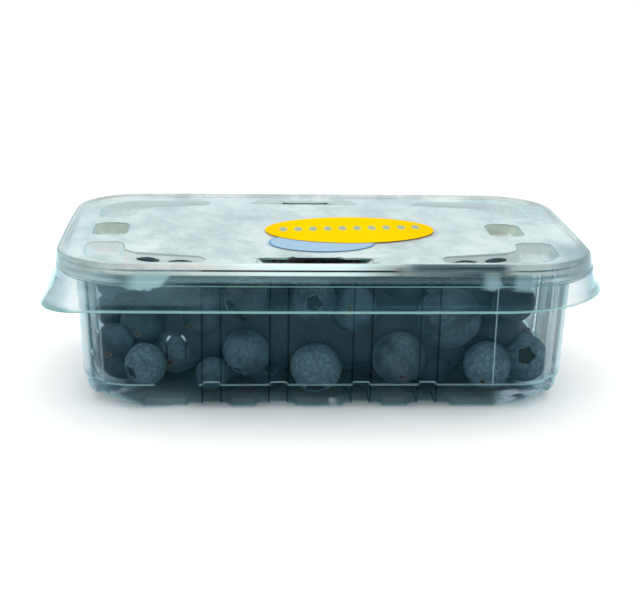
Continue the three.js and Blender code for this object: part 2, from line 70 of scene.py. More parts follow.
# ---- Tray ----
# A clear sheet drawn down into a mould: drafted walls with upright grooves, a fold down each corner, a
# rounded foot all round with raised places between the moulded feet, and a flat rim that carries the lid.
MM = 0.001
MIDDLE_X = -1.0  # the pack's own middle, in the frame
SHEET = 0.45
TRAY_HALF = (80.0, 46.0)
TRAY_RADIUS = 17.4
TRAY_DRAFT = 0.055
WALL_FOOT, RIM_UNDER = 9.0, 44.65
PATTERN_X = -2.0
LONG_GROOVES, SHORT_GROOVES = (13.6, 35.5), (11.0,)
GROOVE_HALF, GROOVE_FLANK, GROOVE_DEPTH = 3.0, 0.6, 1.6
FLUTE_HALF, FLUTE_FLANK, FLUTE_DEPTH = 10.0, 3.0, 1.2
ARCH_X, ARCH_TOP, ARCH_HALF, ARCH_DEPTH = 46.8, 26.5, 3.0, 1.4
CREASE_X = 57.0
LONG_FEET = ((-7.3, 7.3), (21.4, 29.0), (44.2, 58.0))
SHORT_FEET = ((-4.0, 4.0), (16.0, 24.0))
FOOT_FLANK, FOOT_HEIGHT, CORNER_LIFT = 1.7, 1.5, 2.6
LID_HALF = (94.8, 61.0)
SIDE_BOW = 1.0
LID_RADIUS, RADIUS_LOSS = 37.0, 2.1
RIM_INSET = 5.2
END_TUCKS, TUCK_SPAN, SKIRT_TOP_INSET = (2.8, 0.8), (2.4, 6.5), 4.0


def new_piece(name, points, faces):
    """An object whose smooth mesh has these points, given in millimetres about the pack's middle, and faces,
    given as a list of integer arrays with one row of point numbers to a face."""
    mesh = bpy.data.meshes.new(name)
    shift = np.array((MIDDLE_X, 0.0, 0.0))
    mesh.vertices.add(len(points))
    mesh.vertices.foreach_set("co", ((points + shift) * MM).astype(np.float32).ravel())
    corners = np.concatenate([part.ravel() for part in faces])
    sizes = np.concatenate([np.full(len(part), part.shape[1]) for part in faces])
    mesh.loops.add(len(corners))
    mesh.loops.foreach_set("vertex_index", corners.astype(np.int32))
    mesh.polygons.add(len(sizes))
    starts = np.concatenate([[0], np.cumsum(sizes)[:-1]])
    mesh.polygons.foreach_set("loop_start", starts.astype(np.int32))
    mesh.polygons.foreach_set("use_smooth", np.ones(len(sizes), bool))
    mesh.update(calc_edges=True)
    piece = bpy.data.objects.new(name, mesh)
    bpy.context.scene.collection.objects.link(piece)
    return piece


def grid_faces(rows, columns, closed, first=0):
    """The four-sided faces of a grid of points numbered row by row. A closed grid joins its last column to
    its first."""
    i, j = np.meshgrid(np.arange(rows - 1), np.arange(columns if closed else columns - 1), indexing="ij")
    k = (j + 1) % columns
    quads = np.stack([i * columns + j, i * columns + k, (i + 1) * columns + k, (i + 1) * columns + j], -1)
    return first + quads.reshape(-1, 4)


def ramp(place, start, end, flank):
    """1 between start and end, 0 away from them, with straight flanks outside and rounded folds."""
    def straight(p):
        """The same with sharp folds."""
        return np.clip(np.minimum(p - start, end - p) / flank + 1, 0, 1)
    fold = 0.22
    return (straight(place - fold) + 2 * straight(place) + straight(place + fold)) / 4


def side_places(reach, marks, step):
    """Places along a side out to reach each way: an even step, and close together at the marks' folds."""
    folds = np.add.outer(marks, (-0.6, -0.3, 0.0, 0.3, 0.6)).ravel()
    folds = np.concatenate([folds, -folds])
    places = np.concatenate([np.arange(-reach + step / 2, reach, step), folds])
    places = np.unique(np.round(places[np.abs(places) < reach - 0.1], 2))
    return places[np.concatenate([[True], np.diff(places) > 0.15])]


def fold_marks(grooves, feet, arches=()):
    """Where the flanks of the grooves and feet begin and end, measured from the middle of a side."""
    inner = GROOVE_HALF - GROOVE_FLANK
    marks = [g + d for g in grooves for d in (-GROOVE_HALF, -inner, inner, GROOVE_HALF)]
    marks += [a + d for a in arches for d in (-ARCH_HALF, ARCH_HALF)]
    marks += [p for a, b in feet for p in (a - FOOT_FLANK, a, b, b + FOOT_FLANK) if p > 0]
    return np.array(marks)


# The columns of the table of places after its share, normal and fixed parts, and a distance past any form.
GROOVE, FOOT, CORNER, FLUTE, TO_ARCH, TO_FOLD, TO_FLUTE = range(6, 13)
FAR = 99.0


def tray_columns():
    """The places round the tray as a table: an outline of half size h and corner radius r has its point at
    share * (h - r) + normal * r + fixed, in x and in y. The other columns are how deep a groove lies there
    (0 to 1), the share of a foot and of a corner, a corner's flute, and the distances to an arch's middle,
    a groove's fold, and a flute's fold or the crease near one end of a long side."""
    rows = []
    straight = (TRAY_HALF[0] - TRAY_RADIUS, TRAY_HALF[1] - TRAY_RADIUS)
    for quarter, (sx, sy) in enumerate(((1, 1), (-1, 1), (-1, -1), (1, -1))):
        degrees = np.unique(np.concatenate([np.linspace(0, 90, 13), np.arange(34, 40), np.arange(51, 57)]))
        angle = np.radians(degrees + 90 * quarter)
        normal = np.stack([np.cos(angle), np.sin(angle)], -1)
        flute = ramp(degrees, 45 - FLUTE_HALF + FLUTE_FLANK, 45 + FLUTE_HALF - FLUTE_FLANK, FLUTE_FLANK)
        corner = np.sin(np.radians(2 * degrees))
        n = len(degrees)
        rows.append(np.column_stack([
            np.full(n, sx), np.full(n, sy), normal, np.zeros((n, 2)),
            np.zeros((n, 2)), corner, flute, np.full((n, 2), FAR),
            np.abs(np.abs(degrees - 45) - FLUTE_HALF) * math.radians(TRAY_RADIUS)]))
        long_side = quarter % 2 == 0
        grooves, feet = (LONG_GROOVES, LONG_FEET) if long_side else (SHORT_GROOVES, SHORT_FEET)
        offset = PATTERN_X if long_side else 0.0
        marks = fold_marks(grooves, feet, (ARCH_X,) if long_side else ())
        if long_side:
            marks = np.append(marks, CREASE_X)
        along = side_places(straight[0] + 3 if long_side else straight[1] - 0.9, marks, 2.2)
        along = along[np.abs(along + offset) < straight[0] - 1.2]
        reach = np.abs(along)
        inner = GROOVE_HALF - GROOVE_FLANK
        groove = np.max([ramp(reach, g - inner, g + inner, GROOVE_FLANK) for g in grooves], axis=0)
        fold = np.min([np.abs(np.abs(reach - g) - GROOVE_HALF) for g in grooves], axis=0)
        foot = np.max([ramp(reach, a, b, FOOT_FLANK) for a, b in feet], axis=0)
        direction = np.array((0, sy) if long_side else (sx, 0))
        forward = -sy if long_side else sx
        n = len(along)
        fixed = np.zeros((n, 2))
        fixed[:, 0 if long_side else 1] = along + offset
        part = np.column_stack([
            np.tile(direction, (n, 1)), np.tile(direction, (n, 1)), fixed,
            groove, foot, np.zeros(n), np.zeros(n),
            np.abs(along * sy - ARCH_X) if long_side else np.full(n, FAR), fold,
            np.abs(along * sy + CREASE_X) if long_side else np.full(n, FAR)])
        rows.append(part if forward > 0 else part[::-1])
    return np.concatenate(rows)


TRAY_COLUMNS = tray_columns()


def outline_points(columns, half, radius):
    """The points of an outline of this half size and corner radius at the given places."""
    half = np.asarray(half, float)
    return columns[:, 0:2] * (half - radius) + columns[:, 2:4] * radius + columns[:, 4:6]


def bowed(points, half):
    """Points of an outline whose sides swell outwards by a millimetre, as a parabola, at their middles."""
    across = points / np.asarray(half)
    swell = SIDE_BOW * np.sign(points) * (1 - across[:, ::-1] ** 2) * across ** 4
    return points + swell


def end_tuck(inset, across):
    """How much less far out the lid's ends stand than its front and back at a distance in from its outline,
    for places across it from -1 at the left end to 1 at the right."""
    tuck = np.where(across < 0, *END_TUCKS)
    return tuck * np.clip((TUCK_SPAN[1] - inset) / (TUCK_SPAN[1] - TUCK_SPAN[0]), 0, 1) * across


def tray_ring(inset, draft_height, relief, height):
    """One ring round the tray. inset is the distance in from the drafted wall, relief the share of the
    grooves' depth there, and height works out the level from the table of places."""
    grow = TRAY_DRAFT * draft_height - inset
    radius = max(4.0, TRAY_RADIUS + grow)
    c = TRAY_COLUMNS
    points = outline_points(c, (TRAY_HALF[0] + grow, TRAY_HALF[1] + grow), radius)
    level = np.broadcast_to(height(c), len(c))
    rise = np.sqrt(np.clip(ARCH_HALF ** 2 - c[:, TO_ARCH] ** 2, 0, None))
    arch_top = ARCH_TOP - ARCH_HALF + rise
    arch = ramp(c[:, TO_ARCH], -9.0, ARCH_HALF - 0.8, 0.8) * np.clip((arch_top - level) / 0.8, 0, 1)
    inward = relief * (GROOVE_DEPTH * c[:, GROOVE] + FLUTE_DEPTH * c[:, FLUTE])
    inward = inward + min(relief, 1.0) * ARCH_DEPTH * arch
    return np.column_stack([points - c[:, 2:4] * inward[:, None], level])


def sole_level(c):
    """The level of the underside: the feet's soles at 0, and the raised places between them."""
    return FOOT_HEIGHT * (1 - c[:, FOOT])


# Rows of the tray's form from under its middle up the wall: distance in, draft height, relief, level.
TRAY_ROWS = [
    (13.5, 0, 0, lambda c: FOOT_HEIGHT),
    (12.0, 0, 0, sole_level),
    (8.0, 0, 0.3, lambda c: sole_level(c) + 0.5 * CORNER_LIFT * c[:, CORNER]),
    (5.0, 0, 0.5, lambda c: sole_level(c) + 0.85 * CORNER_LIFT * c[:, CORNER]),
    (3.8, 0, 0.6, lambda c: sole_level(c) + CORNER_LIFT * c[:, CORNER]),
    (2.9, 0, 0.75, lambda c: 0.55 * sole_level(c) + 0.55 + 0.85 * CORNER_LIFT * c[:, CORNER]),
    (2.1, 0, 0.9, lambda c: 0.25 * sole_level(c) + 1.45 + 0.7 * CORNER_LIFT * c[:, CORNER]),
    (1.3, 0, 1, lambda c: 2.8 + CORNER_LIFT / 2 * c[:, CORNER]),
    (0.75, 0, 1, lambda c: 4.4 + CORNER_LIFT * 0.36 * c[:, CORNER]),
    (0.45, 0, 1, lambda c: 6.0 + CORNER_LIFT / 4 * c[:, CORNER]),
    (0.32, 0, 1, lambda c: 8.1),
    (0.28, WALL_FOOT, 1, lambda c: 8.6),
    (0.0, WALL_FOOT, 1, lambda c: 8.95),
]
WALL_LEVELS = (9.6, 12, 15, 18, 20, 21.5, 22.5, 23, 23.5, 24, 24.5, 25, 25.5, 26, 26.4, 26.8, 27.4, 28.5, 31,
               34, 37, 40, 42.5, 43.7, 44.3)
TRAY_ROWS += [(0.0, z, 1, lambda c, z=z: z) for z in WALL_LEVELS]


def tray_sheet():
    """The outer face of the sheet: the rows above, then the rim turned out flat to the lid's outline."""
    rings = [tray_ring(*row) for row in TRAY_ROWS]
    rings = [rings[0] * (share, share, 1.0) for share in (0.3, 0.6, 0.85)] + rings
    rim_half = (LID_HALF[0] - SIDE_BOW - RIM_INSET, LID_HALF[1] - SIDE_BOW - RIM_INSET)
    edge = bowed(outline_points(TRAY_COLUMNS, rim_half, LID_RADIUS - RADIUS_LOSS * RIM_INSET), rim_half)
    edge[:, 0] -= end_tuck(SKIRT_TOP_INSET, edge[:, 0] / rim_half[0])
    wall = rings[-1][:, :2]
    for share, z in ((0.03, RIM_UNDER - 0.1), (0.08, RIM_UNDER), (0.5, RIM_UNDER), (0.96, RIM_UNDER),
                     (1.0, RIM_UNDER)):
        rings.append(np.column_stack([wall + (edge - wall) * share, np.full(len(edge), z)]))
    points = np.concatenate(rings)
    columns = len(TRAY_COLUMNS)
    faces = grid_faces(len(rings), columns, True)
    c = TRAY_COLUMNS
    level = np.array([ring[:, 2] for ring in rings])
    arch = np.hypot(c[:, TO_ARCH], np.clip(level - (ARCH_TOP - ARCH_HALF), 0, None)) - ARCH_HALF
    arch = np.abs(arch) + np.clip(16.5 - level, 0, None)
    fold = np.minimum(arch, c[:, TO_FOLD])
    foot = level - 8.9 - 0.5 * c[:, GROOVE]
    lines = {"fold": fold, "flute": c[:, TO_FLUTE] + np.clip(8.8 - level, 0, None), "foot": foot,
             "arch": np.broadcast_to(c[:, TO_ARCH], level.shape)}
    lines = {name: np.append(values.ravel(), FAR) for name, values in lines.items()}
    middle = np.array([[0.0, 0.0, FOOT_HEIGHT]])
    fan = np.arange(columns)
    cap = np.column_stack([np.full(columns, len(points)), (fan + 1) % columns, fan])
    return np.concatenate([points, middle]), [faces, cap], lines


def put_values(piece, values):
    """Gives a piece's points their values, one attribute for each name."""
    for name, numbers in values.items():
        attribute = piece.data.attributes.new(name, "FLOAT", "POINT")
        attribute.data.foreach_set("value", np.asarray(numbers, np.float32).ravel())


def give_thickness(piece, thickness):
    """Thickens a sheet to its inner side. The cut edge takes the piece's second material."""
    solid = piece.modifiers.new("sheet", "SOLIDIFY")
    solid.thickness = thickness * MM
    solid.offset = -1.0
    solid.material_offset_rim = 1


class Field:
    """What a material works out at every point: an output of its node tree, with arithmetic."""

    def __init__(self, tree, socket):
        self.tree = tree
        self.socket = socket

    def calculated(self, operation, *values):
        """One math operation on this and the other values."""
        return add_node(self.tree, "Math", dict(enumerate((self, *values))), operation=operation)

    def __add__(self, other):
        return self.calculated("ADD", other)

    def __sub__(self, other):
        return self.calculated("SUBTRACT", other)

    def __rsub__(self, other):
        return add_node(self.tree, "Math", {0: other, 1: self}, operation="SUBTRACT")

    def __mul__(self, other):
        return self.calculated("MULTIPLY", other)

    def __truediv__(self, other):
        return self.calculated("DIVIDE", other)

    def __mod__(self, other):
        return self.calculated("MODULO", other)

    def __pow__(self, other):
        return self.calculated("POWER", other)

    def __abs__(self):
        return self.calculated("ABSOLUTE")


def add_node(tree, kind, inputs=(), output=0, **settings):
    """One output of a new shader node of this kind, with its settings, and its inputs by number or name."""
    node = tree.nodes.new("ShaderNode" + kind)
    for name, value in settings.items():
        setattr(node, name, value)
    for name, value in dict(inputs).items():
        socket = node.inputs[name]
        if isinstance(value, Field):
            tree.links.new(value.socket, socket)
        elif socket.type == "RGBA":
            socket.default_value = (*value, 1.0)
        else:
            socket.default_value = value
    return Field(tree, node.outputs[output])


def new_material(name, surface):
    """A node material with the shader that surface makes in its tree."""
    material = bpy.data.materials.new(name)
    material.use_nodes = True
    tree = material.node_tree
    tree.nodes.clear()
    tree.links.new(surface(tree).socket, tree.nodes.new("ShaderNodeOutputMaterial").inputs["Surface"])
    return material


def mixed(share, first, second):
    """A colour from first to second by share."""
    return add_node(share.tree, "Mix", {0: share, 6: first, 7: second}, 2, data_type="RGBA")


def mixed_value(share, first, second):
    """A number from first to second by share."""
    return add_node(share.tree, "Mix", {0: share, 2: first, 3: second}, 0, data_type="FLOAT")


def layered(share, under, over):
    """A surface that is under, and by share over."""
    return add_node(over.tree, "MixShader", {0: share, 1: under, 2: over})


def shaped(value, low, high, to_low=0.0, to_high=1.0):
    """value mapped from low..high to to_low..to_high with smooth ends."""
    inputs = {"Value": value, "From Min": low, "From Max": high, "To Min": to_low, "To Max": to_high}
    return add_node(value.tree, "MapRange", inputs, "Result", interpolation_type="SMOOTHSTEP")


def near(value, middle, reach):
    """1 where value lies at middle, falling to 0 at reach from it."""
    return shaped(abs(value - middle), reach, reach * 0.35)


def most(first, *others):
    """The greatest of some values."""
    for other in others:
        first = first.calculated("MAXIMUM", other)
    return first


def own_place(tree):
    """The object's own coordinates."""
    return add_node(tree, "TexCoord", output="Object")


def parts(place, axes="XYZ"):
    """A place's x, y and z, or those of them that axes names."""
    return [add_node(place.tree, "SeparateXYZ", {0: place}, axis) for axis in axes]


def from_middle(x):
    """How far x lies from the pack's middle."""
    return abs(x - MIDDLE_X * MM)


def value_of(tree, name):
    """What the piece gives its points under this name."""
    return add_node(tree, "Attribute", output="Fac", attribute_name=name)


def noise(tree, scale, detail=2.0, roughness=0.5, finer=(1.0, 1.0, 1.0), place=None):
    """Noise on the object's own coordinates, of scale cycles to a metre times finer along each axis, or on
    another place."""
    mapped = add_node(tree, "Mapping", {"Vector": place or own_place(tree), "Scale": finer})
    inputs = {"Vector": mapped, "Scale": scale, "Detail": detail, "Roughness": roughness}
    return add_node(tree, "TexNoise", inputs, "Fac")


def bumps(tree, strength, distance, height):
    """Normals bent as if by this height, in units of distance."""
    return add_node(tree, "Bump", {"Strength": strength, "Distance": distance, "Height": height})


def milk(tree, tone, through):
    """What scatters light on a clear sheet: back off it, and by the share through on through it."""
    back = add_node(tree, "BsdfDiffuse", {"Color": tone})
    return layered(through, back, add_node(tree, "BsdfTranslucent", {"Color": tone}))


# The cast of the clear sheet face on and edge on, and the painted shade along its folds.
CLEAR_FACE_ON, CLEAR_EDGE_ON, FOLD_SHADE = (0.84, 0.868, 0.873), (0.83, 0.862, 0.867), (0.22, 0.34, 0.37)
GLOSS_FACE_ON, GLOSS_EDGE_ON, LEAST_GLOSS = (0.28, 0.80, 1.0), (0.78, 0.96, 1.0), 0.010
# The pale colour of the painted glare on the ends, and the tone that shadow rays pass through.
GLARE_TONE, SHADOW_TONE = (0.96, 0.96, 0.95), (0.93, 0.96, 0.96)
FILM_AND_LIGHT_THROUGH, GLARE_THROUGH = 0.35, 0.5  # the shares of scattered light that go on through the sheet


def end_glare(tree, facing):
    """The share of painted glare on the ends, a pale layer where the sheets are seen on edge: most at the
    outermost of the walls and on the right, none on the foot and the lid's top, little on the lid's skirt."""
    x, z = parts(own_place(tree), "XZ")
    outward = from_middle(x)
    at_ends = shaped(z, 0.008, 0.013) * shaped(abs(x), 0.064, 0.074)
    amount = most(shaped(outward, 0.0755, 0.0780, 0.3, 0.9), shaped(x, 0.068, 0.074, 0.0, 0.8))
    within = shaped(outward, 0.0830, 0.0818, 0.1, 1.0) * shaped(z, 0.0465, 0.0445)
    return shaped(facing, 0.25, 0.95) * at_ends * amount * within


def clear_plastic(tree, folds, film, shade):
    """Thin clear sheet: see-through with a green-grey cast, and a gloss that grows towards grazing. folds
    gives the share of painted shade along sharp folds, standing in for the light that they turn away; film
    the share and colour of what lies on the sheet and of the light and shade painted on it; and shade the
    share of gloss that neighbouring sheets hide."""
    facing = add_node(tree, "LayerWeight", {"Blend": 0.5}, "Facing")
    cast = mixed(folds(tree), mixed(facing ** 3.0, CLEAR_FACE_ON, CLEAR_EDGE_ON), FOLD_SHADE)
    film_and_light_share, film_and_light_tone = film(tree)
    clear = add_node(tree, "BsdfTransparent", {"Color": cast})
    body = layered(film_and_light_share, clear, milk(tree, film_and_light_tone, FILM_AND_LIGHT_THROUGH))
    # Painted glare where the ends are seen on edge.
    body = layered(end_glare(tree, facing), body, milk(tree, GLARE_TONE, GLARE_THROUGH))
    gloss = add_node(tree, "BsdfGlossy", {
        "Color": mixed(facing ** 2.0, GLOSS_FACE_ON, GLOSS_EDGE_ON), "Roughness": 0.06,
        "Normal": bumps(tree, 0.12, 0.0006, noise(tree, 90.0, 3.0))})
    share = (facing ** 5.0 * (1.0 - LEAST_GLOSS) + LEAST_GLOSS) * (1.0 - shade(tree))
    in_shadow = add_node(tree, "LightPath", output="Is Shadow Ray")
    lets_through = add_node(tree, "BsdfTransparent", {"Color": SHADOW_TONE})
    return layered(in_shadow, layered(share, body, gloss), lets_through)


def tray_folds(tree):
    """Painted shade: dark lines where the grooves and arches fold, and a darker foot, which is seen through
    its curve.
    """
    (z,) = parts(own_place(tree), "Z")
    return most(near(value_of(tree, "fold"), 0.0, 0.30) * 0.8, shaped(z, 0.0092, 0.0080, 0.0, 0.06))


def tray_painted_light(tree):
    """Painted highlights: light caught in the fold between wall and foot, in the corners' flutes and the
    crease, at an arch's shoulders and on the raised corners, most at the right."""
    x, z = parts(own_place(tree), "XZ")
    fold, foot, arch = (value_of(tree, name) for name in ("fold", "foot", "arch"))
    foot_line = near(foot, 0.0, 0.28) * 0.5 * shaped(arch, 6.5, 7.5)
    foot_turn = near(foot, 0.4, 0.9) * shaped(x, 0.060, 0.070, 0.0, 0.6)
    flute = near(value_of(tree, "flute"), 0.0, 0.30) * shaped(x, 0.060, 0.064, 0.32, 0.5)
    low = most(shaped(abs(x), 0.059, 0.071), shaped(x, 0.053, 0.060)) * shaped(z, 0.0092, 0.0065)
    corner = low * shaped(noise(tree, 260.0, 3.0, 0.5, (0.5, 0.5, 1.6)), 0.42, 0.62)
    corner = corner * shaped(x, -0.02, 0.02, 0.36, 0.47)
    glint = near(fold, 0.0, 0.5) * near(arch, 2.3, 1.1) * shaped(z, 0.0236, 0.0250, 0.0, 0.7)
    # The painted highlights' colours: sea green, blue-grey on the low corners, pale blue at the arch's
    # glints.
    tone = mixed(low, (0.50, 0.72, 0.76), (0.62, 0.70, 0.78))
    return most(foot_line, flute, corner, foot_turn, glint), mixed(glint, tone, (0.50, 0.74, 0.92))


def tray_shade(tree):
    """The flat rim lies close under the lid's shoulder, which hides most of its gloss."""
    (z,) = parts(own_place(tree), "Z")
    return shaped(z, 0.0440, 0.0444, 0.0, 0.8)


def cut_edge(tree):
    """The cut edge of the sheet: light gathered in the plastic leaves it here, so it is a pale sea green."""
    tone = mixed(noise(tree, 160.0, 3.0), (0.16, 0.36, 0.33), (0.3, 0.52, 0.47))
    return add_node(tree, "BsdfPrincipled", {"Base Color": tone, "Roughness": 0.25, "Alpha": 0.85})


tray_points, tray_faces, tray_lines = tray_sheet()
tray = new_piece("tray_shell", tray_points, tray_faces)
put_values(tray, tray_lines)
tray.data.materials.append(new_material(
    "tray_plastic", lambda tree: clear_plastic(tree, tray_folds, tray_painted_light, tray_shade)))
tray.data.materials.append(new_material("tray_edge", cut_edge))
give_thickness(tray, SHEET)
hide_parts("tray")
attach(tray, "root")


# ---- Lid ----
# A clear sheet formed over a mould: a flared skirt to grip, a shoulder on the tray's rim, a round bead, and
# a flat panel with a vent slot front and back, a pocket at each end and an L-shaped recess at each corner.
SKIRT_BOTTOM, LID_TOP, PANEL_Z, PANEL_INSET = 37.8, 52.0, 50.5, 9.8
TAB_RADII = (12.0, 19.0)
LID_PROFILE = (  # distance in from the skirt's edge, and level
    (0.0, SKIRT_BOTTOM), (2.4, 39.8), (3.7, 42.6), (4.0, 45.2), (4.3, 46.0), (5.0, 46.5), (5.2, 48.0),
    (5.7, 49.9), (6.5, 51.3), (7.7, LID_TOP), (PANEL_INSET, PANEL_Z),
)
RECESS_X, CORNER_X, RECESS_DEPTH, RECESS_TAPER = -4.0, -1.0, 4.0, 1.6
SLOT_HALF, SLOT_Y, SLOT_DEPTH, SLOT_TAPER = (19.0, 3.4), 45.0, 1.4, 0.9
POCKET_X, POCKET_HALF = 69.0, (6.0, 9.5)
CORNER_SLOPE, SLOPE_MIDDLE = -0.245, 50.8  # of a corner recess's long inner edge, and the edge's middle
VENTS = ((0.0, 41.52, 17.5, 0.5), (45.6, 36.75, 5.0, 0.1), (57.0, 36.75, 4.0, 0.1))  # x, row, half sizes
SLOT_SHADE = (41.9, 19.6, 1.15)  # the painted shade that a middle vent shows: y, half length, half width
VENT_SHADE_MARGIN = (1.4, 0.07)  # how much longer and wider than the slit a corner vent's painted shade is


def rounded_path(points, tension=0.18, steps=4):
    """A polyline whose corners are cut by short arcs: each corner becomes a quadratic curve that starts and
    ends at the share `tension` of the neighbouring edges, at most 0.8 mm from it."""
    points = np.asarray(points, float)
    path = [points[0]]
    t = np.linspace(0, 1, steps + 1)[:, None]
    for before, corner, after in zip(points[:-2], points[1:-1], points[2:]):
        into, out = corner - before, after - corner
        cut_in = min(tension * 2, 0.8 / np.linalg.norm(into), 0.48)
        cut_out = min(tension * 2, 0.8 / np.linalg.norm(out), 0.48)
        a, b = corner - into * cut_in, corner + out * cut_out
        path.extend((1 - t) ** 2 * a + 2 * t * (1 - t) * corner + t ** 2 * b)
    path.append(points[-1])
    return np.array(path)


def spread_out(least, greatest, step, marks, beside):
    """Sorted values at an even step, and more of them beside the marks."""
    even = np.linspace(least, greatest, round((greatest - least) / step) + 1)
    values = np.concatenate([even, np.add.outer(marks, beside).ravel()])
    values = np.unique(np.round(values[(values >= least) & (values <= greatest)], 3))
    return values[np.concatenate([[True], np.diff(values) > 0.24])]


PANEL_HALF = (LID_HALF[0] - SIDE_BOW - PANEL_INSET, LID_HALF[1] - SIDE_BOW - PANEL_INSET)
PANEL_RADIUS = LID_RADIUS - RADIUS_LOSS * PANEL_INSET
PANEL_STRAIGHT = (PANEL_HALF[0] - PANEL_RADIUS, PANEL_HALF[1] - PANEL_RADIUS)
VENT_LIP = 0.05  # half the space between the two rows that a vent opens
VENT_ROWS = np.array((VENTS[1][1], VENTS[0][1]))


def panel_levels():
    """The rows of the panel from front to back, before its sides swell: even ones, closer ones at the
    flanks of the recesses and round the corners' arcs, and a pair at each line of vents."""
    flanks = np.array([8.7, 19.8, 36.2, 37.4, 41.4, 42.4, 45.7, 47.6])
    round_end = PANEL_STRAIGHT[1] + PANEL_RADIUS * np.sin(np.radians([68, 74, 79, 83, 86.5]))
    upper = spread_out(0.6, PANEL_HALF[1] - 0.9, 1.1, flanks, (-0.8, -0.3, 0.3, 0.8))
    keep = np.min(np.abs(np.subtract.outer(upper, VENT_ROWS)), axis=1) > 0.4
    pairs = np.add.outer(VENT_ROWS, (-VENT_LIP, VENT_LIP)).ravel()
    upper = upper[keep & (upper < round_end[0] - 0.2)]
    upper = np.sort(np.concatenate([upper, pairs, round_end, [PANEL_HALF[1]]]))
    return np.concatenate([-upper[::-1], upper])


def panel_shares():
    """The columns of the panel from left to right, as shares of its half width."""
    flanks = np.array([17.5, 18.5, 63.8, 74.2])
    corners = np.array([39.4, 40.6, 50.6, 53, 61, 62.3, 63.4, 64.5, 65.8, 77.5])
    marks = np.concatenate([RECESS_X + flanks, RECESS_X - flanks, CORNER_X + corners, CORNER_X - corners])
    places = spread_out(-PANEL_HALF[0], PANEL_HALF[0], 1.5, marks, (-0.7, 0.0, 0.7))
    places[0], places[-1] = -PANEL_HALF[0], PANEL_HALF[0]
    return places / PANEL_HALF[0]


def rectangle_distance(points, middle, half, radius):
    """The distance of points outside a rectangle with round corners, negative inside."""
    q = np.abs(points - np.asarray(middle)) - np.asarray(half) + radius
    outside = np.linalg.norm(np.maximum(q, 0), axis=1)
    return outside + np.minimum(q.max(axis=1), 0) - radius


def outline_distance(points, corners):
    """The distance of points outside a closed polygon, negative inside: the least distance to an edge, and
    a sign from how often a ray to the right crosses the edges."""
    a, b = corners, np.roll(corners, -1, axis=0)
    edge = b - a
    to = points[:, None, :] - a
    along = np.clip((to * edge).sum(-1) / (edge ** 2).sum(-1), 0, 1)
    distance = np.linalg.norm(to - along[..., None] * edge, axis=-1).min(axis=1)
    spans = (a[:, 1] > points[:, None, 1]) != (b[:, 1] > points[:, None, 1])
    height = np.where(edge[:, 1] == 0, 1.0, edge[:, 1])
    crossing = a[:, 0] + (points[:, None, 1] - a[:, 1]) * edge[:, 0] / height
    inside = (spans & (points[:, None, 0] < crossing)).sum(axis=1) % 2 == 1
    return np.where(inside, -distance, distance)


def corner_recess():
    """The L-shaped recess of the back right corner: round outside, its long inner edge leaning in."""
    arc = np.radians(np.linspace(0, 90, 9))
    bend = np.column_stack([63.3 + 15 * np.cos(arc), 31.5 + 15 * np.sin(arc)])
    rest = [(40.6, 46.5), (38.6, 44.5), (38.6, 40.5), (40.6, 38.5), (61, 33.5), (65, 29.5), (66, 21),
            (68, 19), (76.3, 19), (78.3, 21)]
    return np.concatenate([bend, rest])


def sunk(distance, depth, taper):
    """How far the panel lies down at a distance outside a recess: all of depth from taper inside its edge."""
    t = np.clip(-distance / taper, 0, 1)
    return depth * t * t * (3 - 2 * t)


def panel_heights(points):
    """The level of the panel at these places: flat, a little uneven as formed sheet is, with its recesses.
    Also how far each place lies outside the nearest recess, negative inside."""
    corner = outline_distance(np.abs(points - np.array((CORNER_X, 0.0))), corner_recess())
    mirrored = np.abs(points - np.array((RECESS_X, 0.0)))
    pocket = rectangle_distance(mirrored, (POCKET_X, 0), POCKET_HALF, 4.0)
    slot = rectangle_distance(mirrored, (0, SLOT_Y), SLOT_HALF, 2.8)
    down = np.maximum(sunk(corner, RECESS_DEPTH, RECESS_TAPER), sunk(pocket, RECESS_DEPTH, RECESS_TAPER))
    down = np.maximum(down, sunk(slot, SLOT_DEPTH, SLOT_TAPER))
    x, y = points[:, 0], points[:, 1]
    border = np.clip(3 * (1 - np.max(np.abs(points / np.array(PANEL_HALF)), axis=1)), 0, 1)
    waves = 0.07 * np.sin(x / 11.0 + y / 17.0) + 0.06 * np.sin(y / 9.0 - x / 23.0 + 1.0)
    return PANEL_Z - down + waves * border, np.minimum(np.minimum(corner, pocket), slot)


def slanted(flat):
    """The panel's rows drawn aslant near the corner recesses, so that they follow the slanted inner edge."""
    across = np.abs(flat[..., 0] - CORNER_X)
    up = np.abs(flat[..., 1])
    within = np.interp(across, (31, 39, 63, 72), (0, 1, 1, 0)) * np.interp(up, (24, 35, 39, 46), (0, 1, 1, 0))
    lean = CORNER_SLOPE * (np.clip(across, 40.6, 61.0) - SLOPE_MIDDLE) * within
    return flat + np.stack([np.zeros_like(lean), np.sign(flat[..., 1]) * lean], -1)


